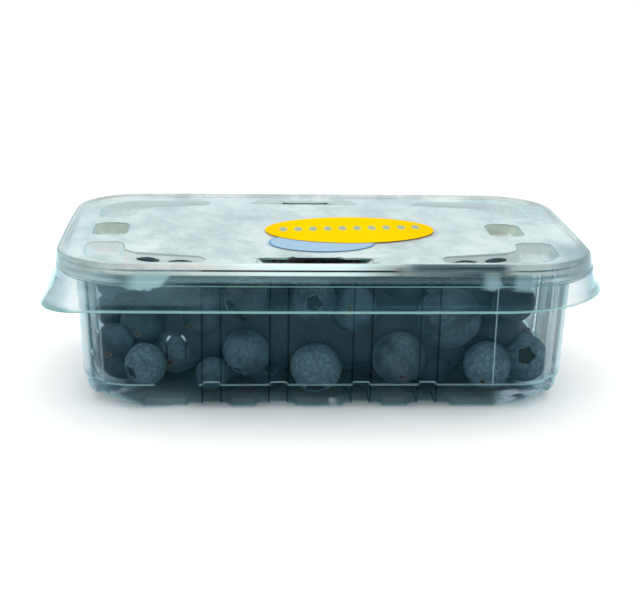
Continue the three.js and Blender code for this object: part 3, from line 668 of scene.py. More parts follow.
def lid_sheet():
    """The outer face of the lid. The panel is a grid that fills its round-cornered outline, with the rows
    at the vents drawn apart into lenses and the faces between them left out. The bead and skirt are rings
    that carry on from the panel's border."""
    levels, shares = panel_levels(), panel_shares()
    rows, columns = len(levels), len(shares)
    past = np.clip((np.abs(levels) - PANEL_STRAIGHT[1]) / PANEL_RADIUS, 0, 1)
    angle = np.arcsin(past)
    width = PANEL_STRAIGHT[0] + PANEL_RADIUS * np.cos(angle)
    flat = np.stack(np.broadcast_arrays(width[:, None] * shares, levels[:, None]), -1)
    flat = slanted(bowed(flat.reshape(-1, 2), PANEL_HALF).reshape(rows, columns, 2))
    open_faces = np.zeros((rows - 1, columns - 1), bool)
    for x, level, half_length, half_width in VENTS:
        for side_x in ((1,) if x == 0 else (-1, 1)):
            for side_y in (-1, 1):
                middle = RECESS_X if x == 0 else CORNER_X + side_x * x
                lower = np.argmin(np.abs(levels - side_y * level + VENT_LIP))
                for row, way in ((lower, -1), (lower + 1, 1)):
                    reach = (flat[row, :, 0] - middle) / half_length
                    flat[row, :, 1] += way * half_width * np.clip(1 - reach ** 2, 0, None)
                within = np.abs(flat[lower, :, 0] - middle) < half_length
                open_faces[lower] |= within[:-1] & within[1:]
    level, recess = panel_heights(flat.reshape(-1, 2))
    # How far each point lies from the painted shade round each vent, in shares of its size.
    vent = np.full(len(recess), FAR)
    for x, row, half_length, half_width in VENTS[1:]:
        for side in (-1, 1):
            off = flat.reshape(-1, 2) - (CORNER_X + side * x, 0)
            aslant = np.abs(off[:, 1]) - row - CORNER_SLOPE * (side * off[:, 0] + x - SLOPE_MIDDLE)
            longer, wider = half_length + VENT_SHADE_MARGIN[0], half_width + VENT_SHADE_MARGIN[1]
            vent = np.minimum(vent, np.hypot(off[:, 0] / longer, aslant / wider))
    off = flat.reshape(-1, 2) - (RECESS_X, 0)
    slot_y, half_length, half_width = SLOT_SHADE
    vent = np.minimum(vent, np.hypot(off[:, 0] / half_length, (np.abs(off[:, 1]) - slot_y) / half_width))
    panel = np.column_stack([flat.reshape(-1, 2), level])
    panel_faces = grid_faces(rows, columns, False)[~open_faces.ravel()]

    number = np.arange(rows * columns).reshape(rows, columns)
    loop = np.concatenate([number[:, -1], number[-1, -2:0:-1], number[::-1, 0], number[0, 1:-1]])
    row_of, column_of = loop // columns, loop % columns
    on_side = (column_of == 0) | (column_of == columns - 1)
    sign_x = np.where(column_of == 0, -1.0, 1.0)
    sign_y = np.sign(levels[row_of])
    share_x = np.where(on_side, sign_x, shares[column_of])
    share_y = np.clip(levels[row_of] / PANEL_STRAIGHT[1], -1, 1)
    normal_x = np.where(on_side, sign_x * np.cos(angle[row_of]), 0.0)
    normal_y = np.where(on_side, sign_y * np.sin(angle[row_of]), sign_y)
    profile = rounded_path(LID_PROFILE)[:-1]
    tab = (share_x < 0) & (share_y < 0)
    rings = []
    for inset, z in profile:
        half = np.array((LID_HALF[0] - SIDE_BOW - inset, LID_HALF[1] - SIDE_BOW - inset))
        plain = LID_RADIUS - RADIUS_LOSS * inset
        sharp = np.interp(inset, (0.0, 2.4, 3.7), (*TAB_RADII, LID_RADIUS - RADIUS_LOSS * 3.7))
        radius = np.where(tab & (inset < 3.7), sharp, plain)
        ring_x = share_x * (half[0] - radius) + normal_x * radius
        ring_y = share_y * (half[1] - radius) + normal_y * radius
        ring = bowed(np.column_stack([ring_x, ring_y]), half)
        ring[:, 0] -= end_tuck(inset, ring[:, 0] / half[0])
        rings.append(np.column_stack([ring, np.full(len(ring), z)]))
    count = len(loop)
    first = len(panel)
    wall_faces = grid_faces(len(rings), count, True, first)
    last = first + (len(rings) - 1) * count + np.arange(count)
    join = np.column_stack([last, np.roll(last, -1), np.roll(loop, -1), loop])
    outside = np.full(len(rings) * count, FAR)
    lines = {"recess": np.append(recess, outside), "vent": np.append(vent, outside),
             "inset": np.append(np.full(len(panel), 12.0), np.repeat(profile[:, 0], count))}
    lines["inset"][loop] = PANEL_INSET
    return np.concatenate([panel, *rings]), [panel_faces, wall_faces, join], lines


def lid_folds(tree):
    """Painted shade: dark lines round the recesses and along the bead's, shoulder's and panel's folds,
    stronger at the front, and darker ends.
    """
    x, y = parts(own_place(tree), "XY")
    inset = value_of(tree, "inset")
    rim = near(value_of(tree, "recess"), -0.12, 0.26) * shaped(y, 0.010, 0.020, 0.75, 0.15)
    bead = near(inset, 5.72, 0.16) * 0.6
    shoulder = most(near(inset, 4.25, 0.14), near(inset, 5.15, 0.12), near(inset, 6.9, 0.12)) * 0.45
    border = near(inset, 9.7, 0.3) * 0.3
    end = shaped(from_middle(x), 0.080, 0.088, 0.0, 0.38) * shaped(inset, 4.4, 4.0)
    return most(rim, bead, border, shoulder, end)


MILK_THIN, MILK_THICK = (0.565, 0.605, 0.585), (0.76, 0.78, 0.755)
POCKET_TONE, BACK_RECESS_TONE = (0.58, 0.615, 0.535), (0.64, 0.69, 0.69)
LEFT_RECESS_TONE, RIGHT_RECESS_TONE = (0.80, 0.83, 0.82), (0.65, 0.70, 0.69)
DARK_STREAK_TONE, SHOULDER_TONE, PATCH_TONE = (0.30, 0.365, 0.365), (0.40, 0.60, 0.66), (0.46, 0.64, 0.63)
LEFT_END_TONE, RIGHT_END_TONE = (0.44, 0.50, 0.485), (0.34, 0.39, 0.39)
# Painted light on the bead: its dark reflection, the lighter streaks in that, and its highlight.
BEAD_REFLECTION_DARK, BEAD_REFLECTION_STREAK, BEAD_HIGHLIGHT = (0.05, 0.085, 0.095), (0.16, 0.22, 0.23), (0.82, 0.96, 0.96)
# The left skirt's teal, the vents' painted shade, and the pale green of the skirt's cut lip.
SKIRT_HAZE_TONE, VENT_SHADE_TONE, LIP_TONE = (0.34, 0.60, 0.68), (0.006, 0.016, 0.018), (0.36, 0.62, 0.58)


def lid_film_and_painted_light(tree):
    """The lid's milkiness: a film of fine droplets on the panel, thicker in clouds and thinner on the
    recesses' flanks, which runs down over the bead. On it lie a painted highlight along the bead's top and a
    painted dark reflection on its front right. The ends are grey, darker at the right, with darker streaks
    round the panel's border and a darker right front; there are pale patches at the front's shoulder, a pale
    band along the front wall and teal on the left skirt. Vents show painted shade, and light leaves the
    skirt's cut lip pale green."""
    x, y, z = parts(own_place(tree))
    recess, inset = value_of(tree, "recess"), value_of(tree, "inset")
    side, right = from_middle(x), shaped(x, -0.02, 0.02)
    away, back = shaped(abs(y), 0.012, 0.016), shaped(y, 0.012, 0.016)
    on_bead = shaped(z, 0.0481, 0.0485) * shaped(inset, 7.4, 7.2)

    flank = shaped(recess, -1.75, -1.5) * shaped(recess, 0.1, -0.1)
    clouds = shaped(noise(tree, 34.0, 5.0, 0.6, (1.0, 1.8, 1.0)), 0.3, 0.72, 0.74, 0.93)
    milky = mixed_value(flank, clouds, mixed_value(away, 0.66, 0.8))
    milky = mixed_value(near(recess, -0.12, 0.26), milky, mixed_value(back, 0.4, 0.7))
    # Painted shade in and round the vents.
    vent_shade = shaped(value_of(tree, "vent"), 1.12, 0.96, 0.0, 0.93)

    # A painted highlight along the bead's rounded top, strongest left of the middle, and a painted dark
    # reflection on its front right.
    lit = shaped(x, -0.080, -0.035, 0.45, 1.0) * shaped(x, 0.032, 0.0)
    lit = most(lit, shaped(x, 0.054, 0.062, 0.10, 0.45))
    bead_highlight = on_bead * lit * (1.0 - near(inset, 5.72, 0.16))
    bead_dark_reflection = on_bead * shaped(x, 0.018, 0.028) * shaped(x, 0.060, 0.053) * shaped(y, -0.040, -0.044)

    wall = near(z, 0.0472, 0.0014) * shaped(x, -0.02, 0.02, 0.22, 0.10)
    lip = shaped(z, 0.03825, 0.0380) * 0.5
    haze = shaped(x, -0.030, -0.050, 0.0, 0.08) * shaped(inset, 4.1, 3.9) * shaped(z, 0.0390, 0.0400)
    ends = mixed_value(right, shaped(side, 0.056, 0.078), shaped(side, 0.068, 0.086))
    ends = ends * shaped(inset, 4.0, 4.4) * mixed_value(right, 0.55, 0.75)

    ragged = shaped(noise(tree, 240.0, 3.0), 0.3, 0.7, 0.0, 0.0012)
    left_patch = near(x, -0.0560, 0.0125) * shaped(x - z, -0.0980, -0.1005, 0.10, 0.66)
    right_patch = shaped(x, 0.046, 0.050) * shaped(x, 0.0545, 0.0515, 0.05, 0.42)
    last_patch = near(x, 0.0610, 0.0050) * 0.36
    patch = most(left_patch, right_patch, last_patch) * shaped(z + ragged, 0.0442, 0.0454)
    patch = patch * shaped(inset, 5.7, 5.5) * shaped(y, -0.036, -0.040)
    panel = shaped(inset, 6.2, 7.4) * milky
    share = most(panel, bead_highlight, wall, lip, patch, ends, bead_dark_reflection * 0.9, haze, vent_shade)

    smudges = shaped(noise(tree, 70.0, 6.0, 0.7, (1.0, 0.5, 1.0)), 0.38, 0.62)
    window = mixed(away, POCKET_TONE, mixed(right, LEFT_RECESS_TONE, RIGHT_RECESS_TONE))
    tone = mixed(flank, mixed(smudges, MILK_THIN, MILK_THICK), mixed(back, window, BACK_RECESS_TONE))
    along = add_node(tree, "CombineXYZ", {0: inset, 1: x * 14.0, 2: y * 14.0})
    streaks = shaped(noise(tree, 1.9, 3.0, 0.6, place=along), 0.42, 0.66)
    # Darker streaks round the panel's border, and a darker right front.
    dark_streaks = streaks * (near(inset, 9.0, 1.5) * 0.6)
    dark_streaks = most(dark_streaks, shaped(x, 0.070, 0.080) * shaped(y, -0.012, -0.030, 0.0, 0.8))
    grey = shaped(side, 0.066, 0.080) * shaped(inset, 7.6, 7.2)
    end_tone = mixed(right, LEFT_END_TONE, RIGHT_END_TONE)
    layers = (
        (dark_streaks, DARK_STREAK_TONE),
        (grey, end_tone),
        (shaped(inset, 5.5, 5.2), mixed(most(grey, ends), SHOULDER_TONE, end_tone)),
        # Painted light on the bead: its dark reflection and its highlight.
        (bead_dark_reflection, mixed(streaks, BEAD_REFLECTION_DARK, BEAD_REFLECTION_STREAK)),
        (bead_highlight * near(x, 0.0, 0.045), BEAD_HIGHLIGHT),
        (haze, SKIRT_HAZE_TONE),
        (patch, PATCH_TONE),
        (vent_shade, VENT_SHADE_TONE),
        (shaped(z, 0.0396, 0.0390), LIP_TONE),
    )
    for cover, colour in layers:
        tone = mixed(cover, tone, colour)
    return share, tone


def lid_shade(tree):
    """The shoulder lies close over the tray's rim, which hides part of its gloss."""
    return near(value_of(tree, "inset"), 4.65, 0.55) * 0.7


lid_points, lid_faces, lid_lines = lid_sheet()
lid = new_piece("lid_shell", lid_points, lid_faces)
put_values(lid, lid_lines)
lid.data.materials.append(new_material(
    "lid_plastic", lambda tree: clear_plastic(tree, lid_folds, lid_film_and_painted_light, lid_shade)))
lid.data.materials.append(new_material("lid_edge", cut_edge))
give_thickness(lid, SHEET)
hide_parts("lid")
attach(lid, "root")


# ---- Labels ----
# Two oval paper stickers on the panel, the blue one partly under the yellow one, with a thin gloss. The
# yellow one has a row of plain dots, and the blue one a darker rim.
LABEL_LIFT, LABEL_THICK = 0.1, 0.12
YELLOW_OVAL = (10.0, -2.4, 29.6, 19.4, 3.0)  # x, y, half length, half width, turn in degrees
BLUE_OVAL = (-0.8, -20.6, 17.9, 12.6, 0.0)
LACQUER = 0.004  # the share of light that its gloss gives back
DOT_PITCH, DOT_ROW_RISE = 0.0052, 0.09  # metres, and how much the row of dots climbs to a metre


def closed_faces(rows, columns, turned=False):
    """Faces of a closed surface whose points are a pole, rows of ring points and a pole: the bands between
    the rings and a fan at each pole. They face outwards where the rings run anticlockwise as seen from the
    last pole, or, turned, where they run clockwise."""
    fan = np.arange(columns)
    after = (fan + 1) % columns
    last = 1 + (rows - 1) * columns
    start = np.column_stack([np.zeros(columns, int), 1 + after, 1 + fan])
    end = np.column_stack([np.full(columns, last + columns), last + fan, last + after])
    faces = [grid_faces(rows, columns, True, 1), np.concatenate([start, end])]
    return [part[:, ::-1] for part in faces] if turned else faces


def oval_sticker(oval, lift):
    """A thin closed plate: rings from its middle out to an ellipse, round its edge and back underneath."""
    x, y, half_x, half_y, degrees = oval
    turn = 2 * np.pi * np.arange(160) / 160
    across = np.stack([half_x * np.cos(turn), half_y * np.sin(turn)], -1)
    angle = math.radians(degrees)
    spin = np.array([[math.cos(angle), math.sin(angle)], [-math.sin(angle), math.cos(angle)]])
    edge = across @ spin
    shares = np.array([0.0, 0.25, 0.5, 0.75, 0.92, 0.985, 1.0, 1.0, 0.985, 0.75, 0.4, 0.0])
    levels = np.array([1, 1, 1, 1, 1, 1, 0.85, 0.15, 0, 0, 0, 0]) * LABEL_THICK + lift
    rings = shares[1:-1, None, None] * edge + (x, y)
    heights = np.broadcast_to(levels[1:-1, None, None], rings.shape[:2] + (1,))
    body = np.concatenate([rings, heights], axis=2).reshape(-1, 3)
    points = np.concatenate([[[x, y, levels[0]]], body, [[x, y, levels[-1]]]])
    return points, closed_faces(len(shares) - 2, len(turn), turned=True)


def sticker_paper(tree, print_colour):
    """Printed paper under a thin lacquer, whose colour print_colour works out from the place."""
    fibre = bumps(tree, 0.1, 0.0001, noise(tree, 1500.0, 2.0))
    paper = add_node(tree, "BsdfPrincipled", {
        "Base Color": print_colour(*parts(own_place(tree), "XY")), "Roughness": 0.5,
        "Specular IOR Level": 0.0, "Normal": fibre})
    return layered(LACQUER, paper, add_node(tree, "BsdfGlossy", {"Roughness": 0.22, "Normal": fibre}))


def length(x, y):
    """The length of the flat vector with these parts."""
    vector = add_node(x.tree, "CombineXYZ", {0: x, 1: y})
    return add_node(x.tree, "VectorMath", {0: vector}, "Value", operation="LENGTH")


def yellow_print(x, y):
    """Warm yellow, deeper towards its ends, with a row of ten soft grey-green dots that rises to the
    right."""
    ends = most(shaped(x, -0.008, -0.019), shaped(x, 0.020, 0.036))
    field = mixed(ends * 0.75, (0.86, 0.49, 0.0), (0.84, 0.44, 0.0))
    above_row = x * -DOT_ROW_RISE + y + 0.0012
    away = length((x + 0.1) % DOT_PITCH - DOT_PITCH / 2, above_row * 0.42)
    dot = shaped(away, 0.0017, 0.0011) * shaped(x, -0.0170, -0.0165) * shaped(x, 0.0355, 0.0350)
    return mixed(dot * 0.85, field, (0.16, 0.34, 0.27))


def blue_print(x, y):
    """Pale sky blue with a darker rim."""
    middle_x, middle_y, half_x, half_y = BLUE_OVAL[:4]
    away = length((x - (middle_x + MIDDLE_X) * MM) / (half_x * MM), (y - middle_y * MM) / (half_y * MM))
    tint = mixed(noise(x.tree, 60.0), (0.26, 0.40, 0.52), (0.32, 0.44, 0.55))
    return mixed(shaped(away, 0.93, 0.985), tint, (0.14, 0.30, 0.48))


BLUE_LEVEL = PANEL_Z + LABEL_LIFT
YELLOW_LEVEL = BLUE_LEVEL + LABEL_THICK + LABEL_LIFT
for name, node, oval, lift, colours in (
        ("label_blue_oval", "label_blue", BLUE_OVAL, BLUE_LEVEL, blue_print),
        ("label_yellow_oval", "label_yellow", YELLOW_OVAL, YELLOW_LEVEL, yellow_print)):
    sticker = new_piece(name, *oval_sticker(oval, lift))
    sticker.data.materials.append(new_material(name + "_paper", lambda tree: sticker_paper(tree, colours)))
    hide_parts(node)
    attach(sticker, "root")


# ---- Berries ----
# Loose blueberries of 11 to 22 mm, as they settle in the tray. Each is a slightly flattened ball with a
# five-lobed crown round a hollow at one end and a small stem scar at the other, under a waxy bloom.
HEAP_HALF, HEAP_RADIUS, HEAP_FLOOR, HEAP_TOP = (77.6, 43.4), 26.0, 2.9, 45.0
FLATNESS = 0.86
HEAP_LAYERS, HEAP_ROWS, HEAP_COLUMNS = 3, 5, 10
FIRST_LAYER, LAYER_PITCH, SCATTER = 10, 14, 5
LEAST_RADIUS, MORE_RADIUS = 6.9, 2.7  # of the loose berries: the least, and how much larger one can be
SETTLING_STEPS, SINK, PRESSED = 260, 0.22, 0.97  # PRESSED is how close two settle, of their radii's sum
FRONT_ROW = -30.0  # berries whose middles lie in front of this are made finer
UNSEEN = (67, 34, 6, 37)  # a berry within this half length, half depth and these levels can't be seen
BEHIND_FRONT = -33.0  # the loose berries lie behind this
UPPER_RIGHT_GAP = 5.5  # the right end of the heap's upper part stays this far short of the wall
# The berries at the front wall: x, y, z, radius, the direction of the crown, and how much fuller than
# others its bloom is.
FRONT_BERRIES = (
    (-59.5, -36.1, 12.8, 7.1, (-0.74, -0.6, -0.32), 0.4),
    (-2.8, -34.6, 11.1, 8.7, (-0.08, -0.7, -0.71), 0.6),
    (24.8, -34.1, 14.1, 9.2, (-0.07, 0.84, 0.54), 0.1),
    (54.9, -34.9, 11.9, 8.4, (0.3, 0.8, 0.5), 0.45),
    (-25.9, -35.3, 16.7, 8.0, (-0.46, -0.45, -0.77), 0.2),
    (-37.5, -37.6, 10.1, 5.6, (0.5, 0.5, -0.7), -0.1),
    (41.7, -32.4, 27.7, 11.0, (-0.2, 0.5, 0.84), 0.05),
    (-3.6, -35.9, 34.9, 7.3, (-0.1, -0.99, 0.1), 0.1),
    (-40.5, -27.5, 27.5, 8.2, (0.6, 0.7, 0.4), 0),
    (9.8, -34.5, 31.2, 7.6, (0.3, 0.9, -0.3), 0),
    (62.9, -34.2, 33.6, 7.4, (-0.5, 0.3, 0.8), -0.1),
    (-26.5, -35.2, 35.6, 7.2, (-0.6, 0.2, 0.77), 0.1),
    (-60.9, -28.5, 24.6, 7.4, (0.2, 0.9, 0.3), 0),
    (69.0, -27.5, 11.9, 8.2, (-0.1, -0.9, 0.42), 0.5),
    (-69.4, -31.8, 19.4, 6.5, (0.3, 0.8, 0.5), -0.1),
    (-49.9, -24.2, 15.2, 9.2, (0.2, 0.9, 0.4), 0.45),
    (-11.8, -22.2, 17.8, 9.2, (0.1, 0.8, 0.6), 0.5),
    (7.7, -23.7, 13.9, 7.5, (0.4, 0.7, 0.6), 0.6),
)


def seeded(seed):
    """A small generator of numbers from 0 to 1, the same on every machine."""
    state = seed
    while True:
        state = state * 16807 % 2147483647
        yield state / 2147483647


def settled_berries():
    """The berries' middles and radii once the heap has settled: loose layers that sink, push each other
    apart wherever two overlap, and stay within the tray's rounded box. The front berries don't move."""
    draw = seeded(4127)
    berries = [list(b[:4]) for b in FRONT_BERRIES]
    pinned = len(berries)
    pitch_x = 2 * (HEAP_HALF[0] - 6) / HEAP_COLUMNS
    pitch_y = (HEAP_HALF[1] - 2 - BEHIND_FRONT) / HEAP_ROWS
    for layer, row, column in itertools.product(range(HEAP_LAYERS), range(HEAP_ROWS), range(HEAP_COLUMNS)):
        shift = 0.25 if (row + layer) % 2 else -0.25
        x = (column + 0.5 + shift - HEAP_COLUMNS / 2) * pitch_x + (next(draw) - 0.5) * SCATTER
        y = BEHIND_FRONT + (row + 0.5) * pitch_y + (next(draw) - 0.5) * SCATTER
        z = FIRST_LAYER + layer * LAYER_PITCH + (next(draw) - 0.5) * SCATTER
        r = LEAST_RADIUS + MORE_RADIUS * next(draw)
        if all(math.hypot(x - b[0], y - b[1], z - b[2]) > b[3] for b in berries[:pinned]):
            berries.append([x, y, z, r])
    count = len(berries)
    for step in range(SETTLING_STEPS):
        if step < SETTLING_STEPS * 0.7:
            for a in berries[pinned:]:
                a[2] -= SINK
        for i in range(count):
            a = berries[i]
            for j in range(max(i + 1, pinned), count):
                b = berries[j]
                reach = (a[3] + b[3]) * PRESSED
                dx = b[0] - a[0]
                if dx >= reach or dx <= -reach:
                    continue
                dy = b[1] - a[1]
                if dy >= reach or dy <= -reach:
                    continue
                dz = (b[2] - a[2]) / FLATNESS
                apart = math.hypot(dx, dy, dz)
                if apart >= reach or apart == 0:
                    continue
                move = (reach - apart) / apart
                back = 0.0 if i < pinned else move / 2
                on = move - back
                a[0] -= dx * back
                a[1] -= dy * back
                a[2] -= dz * back * FLATNESS
                b[0] += dx * on
                b[1] += dy * on
                b[2] += dz * on * FLATNESS
        for a in berries[pinned:]:
            keep_in_tray(a)
    return np.array(berries)


def keep_in_tray(a):
    """Moves a berry back inside the box with round corners that the tray leaves, whose corners are raised."""
    x, y, z, r = a
    room_x, room_y = HEAP_HALF[0] - r, HEAP_HALF[1] - r
    if x > 0 and z > 19:
        room_x -= UPPER_RIGHT_GAP
    x, y = min(max(x, -room_x), room_x), min(max(y, BEHIND_FRONT + r), room_y)
    radius = HEAP_RADIUS - r
    cx, cy = abs(x) - (room_x - radius), abs(y) - (room_y - radius)
    past = math.hypot(cx, cy)
    in_corner = cx > 0 and cy > 0
    if in_corner and past > radius:
        x = math.copysign(room_x - radius + cx * radius / past, x)
        y = math.copysign(room_y - radius + cy * radius / past, y)
    half = r * FLATNESS
    lift = CORNER_LIFT * min(1.0, 2 * cx * cy / radius ** 2) if in_corner else 0.0
    a[:3] = x, y, min(max(z, HEAP_FLOOR + lift + half), HEAP_TOP - half)


def berry_profile(body_rows):
    """Rows of a berry of radius 1 from the middle of its crown to its stem scar, as distance from the axis,
    height, share of the crown's lobes, and how far the row belongs to the crown (1), skin (0) or scar (-1).
    Between the crown and the scar it is a half circle."""
    crown = [(0.0, 0.77, 0, 1), (0.16, 0.765, 0, 1), (0.28, 0.77, 0.1, 1), (0.335, 0.85, 0.4, 1),
             (0.37, 0.95, 1.0, 0.75), (0.41, 0.97, 1.0, 0.5), (0.45, 0.91, 0.35, 0.2)]
    angle = np.linspace(math.radians(30), math.radians(170.5), body_rows)
    body = np.column_stack([np.sin(angle), np.cos(angle), np.zeros(body_rows), np.zeros(body_rows)])
    scar = [(0.13, -0.992, 0, -0.5), (0.10, -0.975, 0, -1), (0.07, -0.93, 0, -1), (0.0, -0.92, 0, -1)]
    return np.concatenate([crown, body, scar])


def berry_points(profile, sides, places, draw):
    """The points of many berries at once. Each is the profile turned round its axis, with five lobes on the
    crown, made a little uneven by three low waves, flattened along its axis, turned and put in its place."""
    turn = 2 * np.pi * np.arange(sides) / sides
    rho, height, lobes = profile[1:-1, :3].T
    star = (1 - 2 * np.abs(np.sin(2.5 * turn))) * (1 + 0.35 * np.sin(turn + 0.7))
    star = star + 0.25 * np.sin(3 * turn + 2)
    spread = rho[:, None] + 0.06 * lobes[:, None] * star
    up = height[:, None] + 0.05 * lobes[:, None] * star
    ring = np.stack([spread * np.cos(turn), spread * np.sin(turn), up + 0 * turn], -1).reshape(-1, 3)
    unit = np.concatenate([[[0, 0, profile[0, 1]]], ring, [[0, 0, profile[-1, 1]]]])
    count = len(places)
    axis = places[:, 4:7] / np.linalg.norm(places[:, 4:7], axis=1, keepdims=True)
    helper = np.where(np.abs(axis[:, 2:3]) < 0.9, [[0.0, 0.0, 1.0]], [[1.0, 0.0, 0.0]])
    side = np.cross(helper, axis)
    side /= np.linalg.norm(side, axis=1, keepdims=True)
    frames = np.stack([side, np.cross(axis, side), axis], axis=1)
    waves = draw.normal(size=(count, 3, 3)) * 1.6
    phase = draw.uniform(0, 2 * np.pi, (count, 3))
    uneven = 1 + 0.012 * np.sin(np.einsum("nk,cwk->cnw", unit, waves) + phase[:, None, :]).sum(-1)
    body = unit[None] * uneven[..., None]
    body[..., 2] *= 0.91
    points = np.einsum("cnk,ckj->cnj", body * places[:, 3, None, None], frames)
    return points + places[:, None, 0:3]


def berry_skin(tree):
    """The skin: slate navy, with a pale blue-grey bloom in soft patches that is rubbed off in places, finer
    specks in it, some berries duller or redder than others, and a dark crown and brown scar. As painted
    shade, the bloom shows less on berries that lie deep inside the heap."""
    tone, kind, inside, fuller = (value_of(tree, name) for name in ("tone", "kind", "inside", "bloom"))
    patches = shaped(noise(tree, 115.0, 5.0, 0.56), 0.34, 0.64)
    specks = shaped(noise(tree, 900.0, 2.0), 0.35, 0.75, 0.45, 1.0)
    cover = add_node(tree, "Math", {0: patches, 1: fuller}, operation="ADD", use_clamp=True)
    # Painted shade: berries deep in the heap keep only a quarter of their bloom.
    amount = cover * specks * shaped(inside, 3.0, 12.0, 1.0, 0.24)
    bare = mixed(shaped(tone, 0.75, 1.0), (0.016, 0.029, 0.044), (0.032, 0.024, 0.031))
    bloom = mixed(tone, (0.088, 0.148, 0.195), (0.122, 0.158, 0.19))
    bloom = mixed(shaped(fuller, 0.0, 0.6), bloom, (0.18, 0.265, 0.335))
    lobes = near(kind, 0.5, 0.34) * shaped(noise(tree, 420.0, 2.0), 0.35, 0.6, 0.3, 0.85)
    colour = mixed(amount, bare, bloom)
    layers = (
        (lobes, (0.11, 0.16, 0.20)),
        (shaped(kind, 0.78, 0.97), (0.011, 0.013, 0.015)),  # the crown's hollow
        (shaped(kind, -0.25, -0.55), (0.2, 0.2, 0.19)),  # the scar's rim, and the scar
        (shaped(kind, -0.6, -0.95), (0.06, 0.035, 0.02)),
    )
    for share, layer in layers:
        colour = mixed(share, colour, layer)
    return add_node(tree, "BsdfPrincipled", {
        "Base Color": colour, "Roughness": shaped(amount, 0.0, 1.0, 0.42, 0.68), "Specular IOR Level": 0.3,
        "Normal": bumps(tree, 0.35, 0.0002, noise(tree, 700.0, 3.0))})


def add_berries(name, places, sides, body_rows, draw, skin):
    """One piece of joined berries, with each point's kind of skin and each berry's own tone."""
    profile = berry_profile(body_rows)
    points = berry_points(profile, sides, places, draw)
    count, each = points.shape[:2]
    offsets = each * np.arange(count)[:, None, None]
    faces = [(part + offsets).reshape(-1, part.shape[1])
             for part in closed_faces(len(profile) - 2, sides, turned=True)]
    piece = new_piece(name, points.reshape(-1, 3), faces)
    kind = np.concatenate([[profile[0, 3]], np.repeat(profile[1:-1, 3], sides), [profile[-1, 3]]])
    # How deep each berry lies in the heap, for its painted shade; a fuller bloom counts as lying less deep.
    inside = np.min(HEAP_HALF - np.abs(places[:, :2]), axis=1) - places[:, 3] - 6 * places[:, 7]
    put_values(piece, {"kind": np.tile(kind, count), "tone": np.repeat(draw.uniform(0, 1, count), each),
                       "inside": np.repeat(inside, each), "bloom": np.repeat(places[:, 7], each)})
    piece.data.materials.append(skin)
    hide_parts("berries")
    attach(piece, "root")


heap = settled_berries()
variety = np.random.default_rng(7)
crowns = variety.normal(size=(len(heap), 3))
crowns[:len(FRONT_BERRIES)] = [b[4] for b in FRONT_BERRIES]
fullness = np.zeros((len(heap), 1))
fullness[:len(FRONT_BERRIES), 0] = [b[5] for b in FRONT_BERRIES]
heap = np.concatenate([heap, crowns, fullness], axis=1)
skin = new_material("berry_skin", berry_skin)
at_front = np.zeros(len(heap), bool)
at_front[:len(FRONT_BERRIES)] = True
at_front |= heap[:, 1] < FRONT_ROW
reach = heap[:, 3]
outermost = (np.abs(heap[:, 0]) + reach > UNSEEN[0]) | (np.abs(heap[:, 1]) + reach > UNSEEN[1])
outermost |= (heap[:, 2] - reach < UNSEEN[2]) | (heap[:, 2] + 0.9 * reach > UNSEEN[3])
add_berries("berries_front", heap[at_front], 36, 20, variety, skin)
add_berries("berries_rest", heap[outermost & ~at_front], 20, 11, variety, skin)


# ---- Stalk ----
# A scrap of dry stalk that came with the fruit: a thin dark woody curve, loose between the berries and the
# front wall.
STALK = ((-32.1, -44.6, 37.2), (-30.4, -45.0, 33.4), (-26.6, -44.6, 30.6))
STALK_END, STALK_MIDDLE = 0.7, 1.1  # radii


def stalk_tube():
    """A tube round a quadratic curve, thicker in its middle by half a sine wave, with slight knots, closed
    by a fan at each end."""
    rows, sides = 14, 10
    t = np.linspace(0, 1, rows)[:, None]
    a, b, c = np.array(STALK)
    path = (1 - t) ** 2 * a + 2 * t * (1 - t) * b + t ** 2 * c
    along = np.gradient(path, axis=0)
    along /= np.linalg.norm(along, axis=1, keepdims=True)
    first = np.cross(along, (0.0, 1.0, 0.0))
    first /= np.linalg.norm(first, axis=1, keepdims=True)
    second = np.cross(along, first)
    turn = 2 * np.pi * np.arange(sides) / sides
    radius = STALK_END + (STALK_MIDDLE - STALK_END) * np.sin(np.pi * t)
    radius = radius * (1 + 0.12 * np.sin(14 * t))
    ring = first[:, None] * np.cos(turn)[:, None] + second[:, None] * np.sin(turn)[:, None]
    points = np.concatenate([path[:1], (path[:, None] + ring * radius[:, None]).reshape(-1, 3), path[-1:]])
    return points, closed_faces(rows, sides)


def bark(tree):
    """Dull, nearly black bark."""
    tone = mixed(noise(tree, 900.0, 3.0), (0.002, 0.005, 0.006), (0.012, 0.018, 0.018))
    return add_node(tree, "BsdfPrincipled", {"Base Color": tone, "Roughness": 0.8, "Specular IOR Level": 0.1})


stalk = new_piece("stalk_scrap", *stalk_tube())
stalk.data.materials.append(new_material("stalk_bark", bark))
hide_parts("berries")
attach(stalk, "root")


# ---- Core ----
# The middle of the heap, which shows only through the gaps between the outer berries: the berries there,
# as one body with lumps under the same skin, which its depth darkens with painted shade.
CORE_HALF, CORE_MIDDLE = (66, 33, 15.5), 22.5  # half sizes, and the level of its middle


def blunt(value, power):
    """value drawn towards 1 or -1, by a power below 1 of its size."""
    return np.sign(value) * np.abs(value) ** power


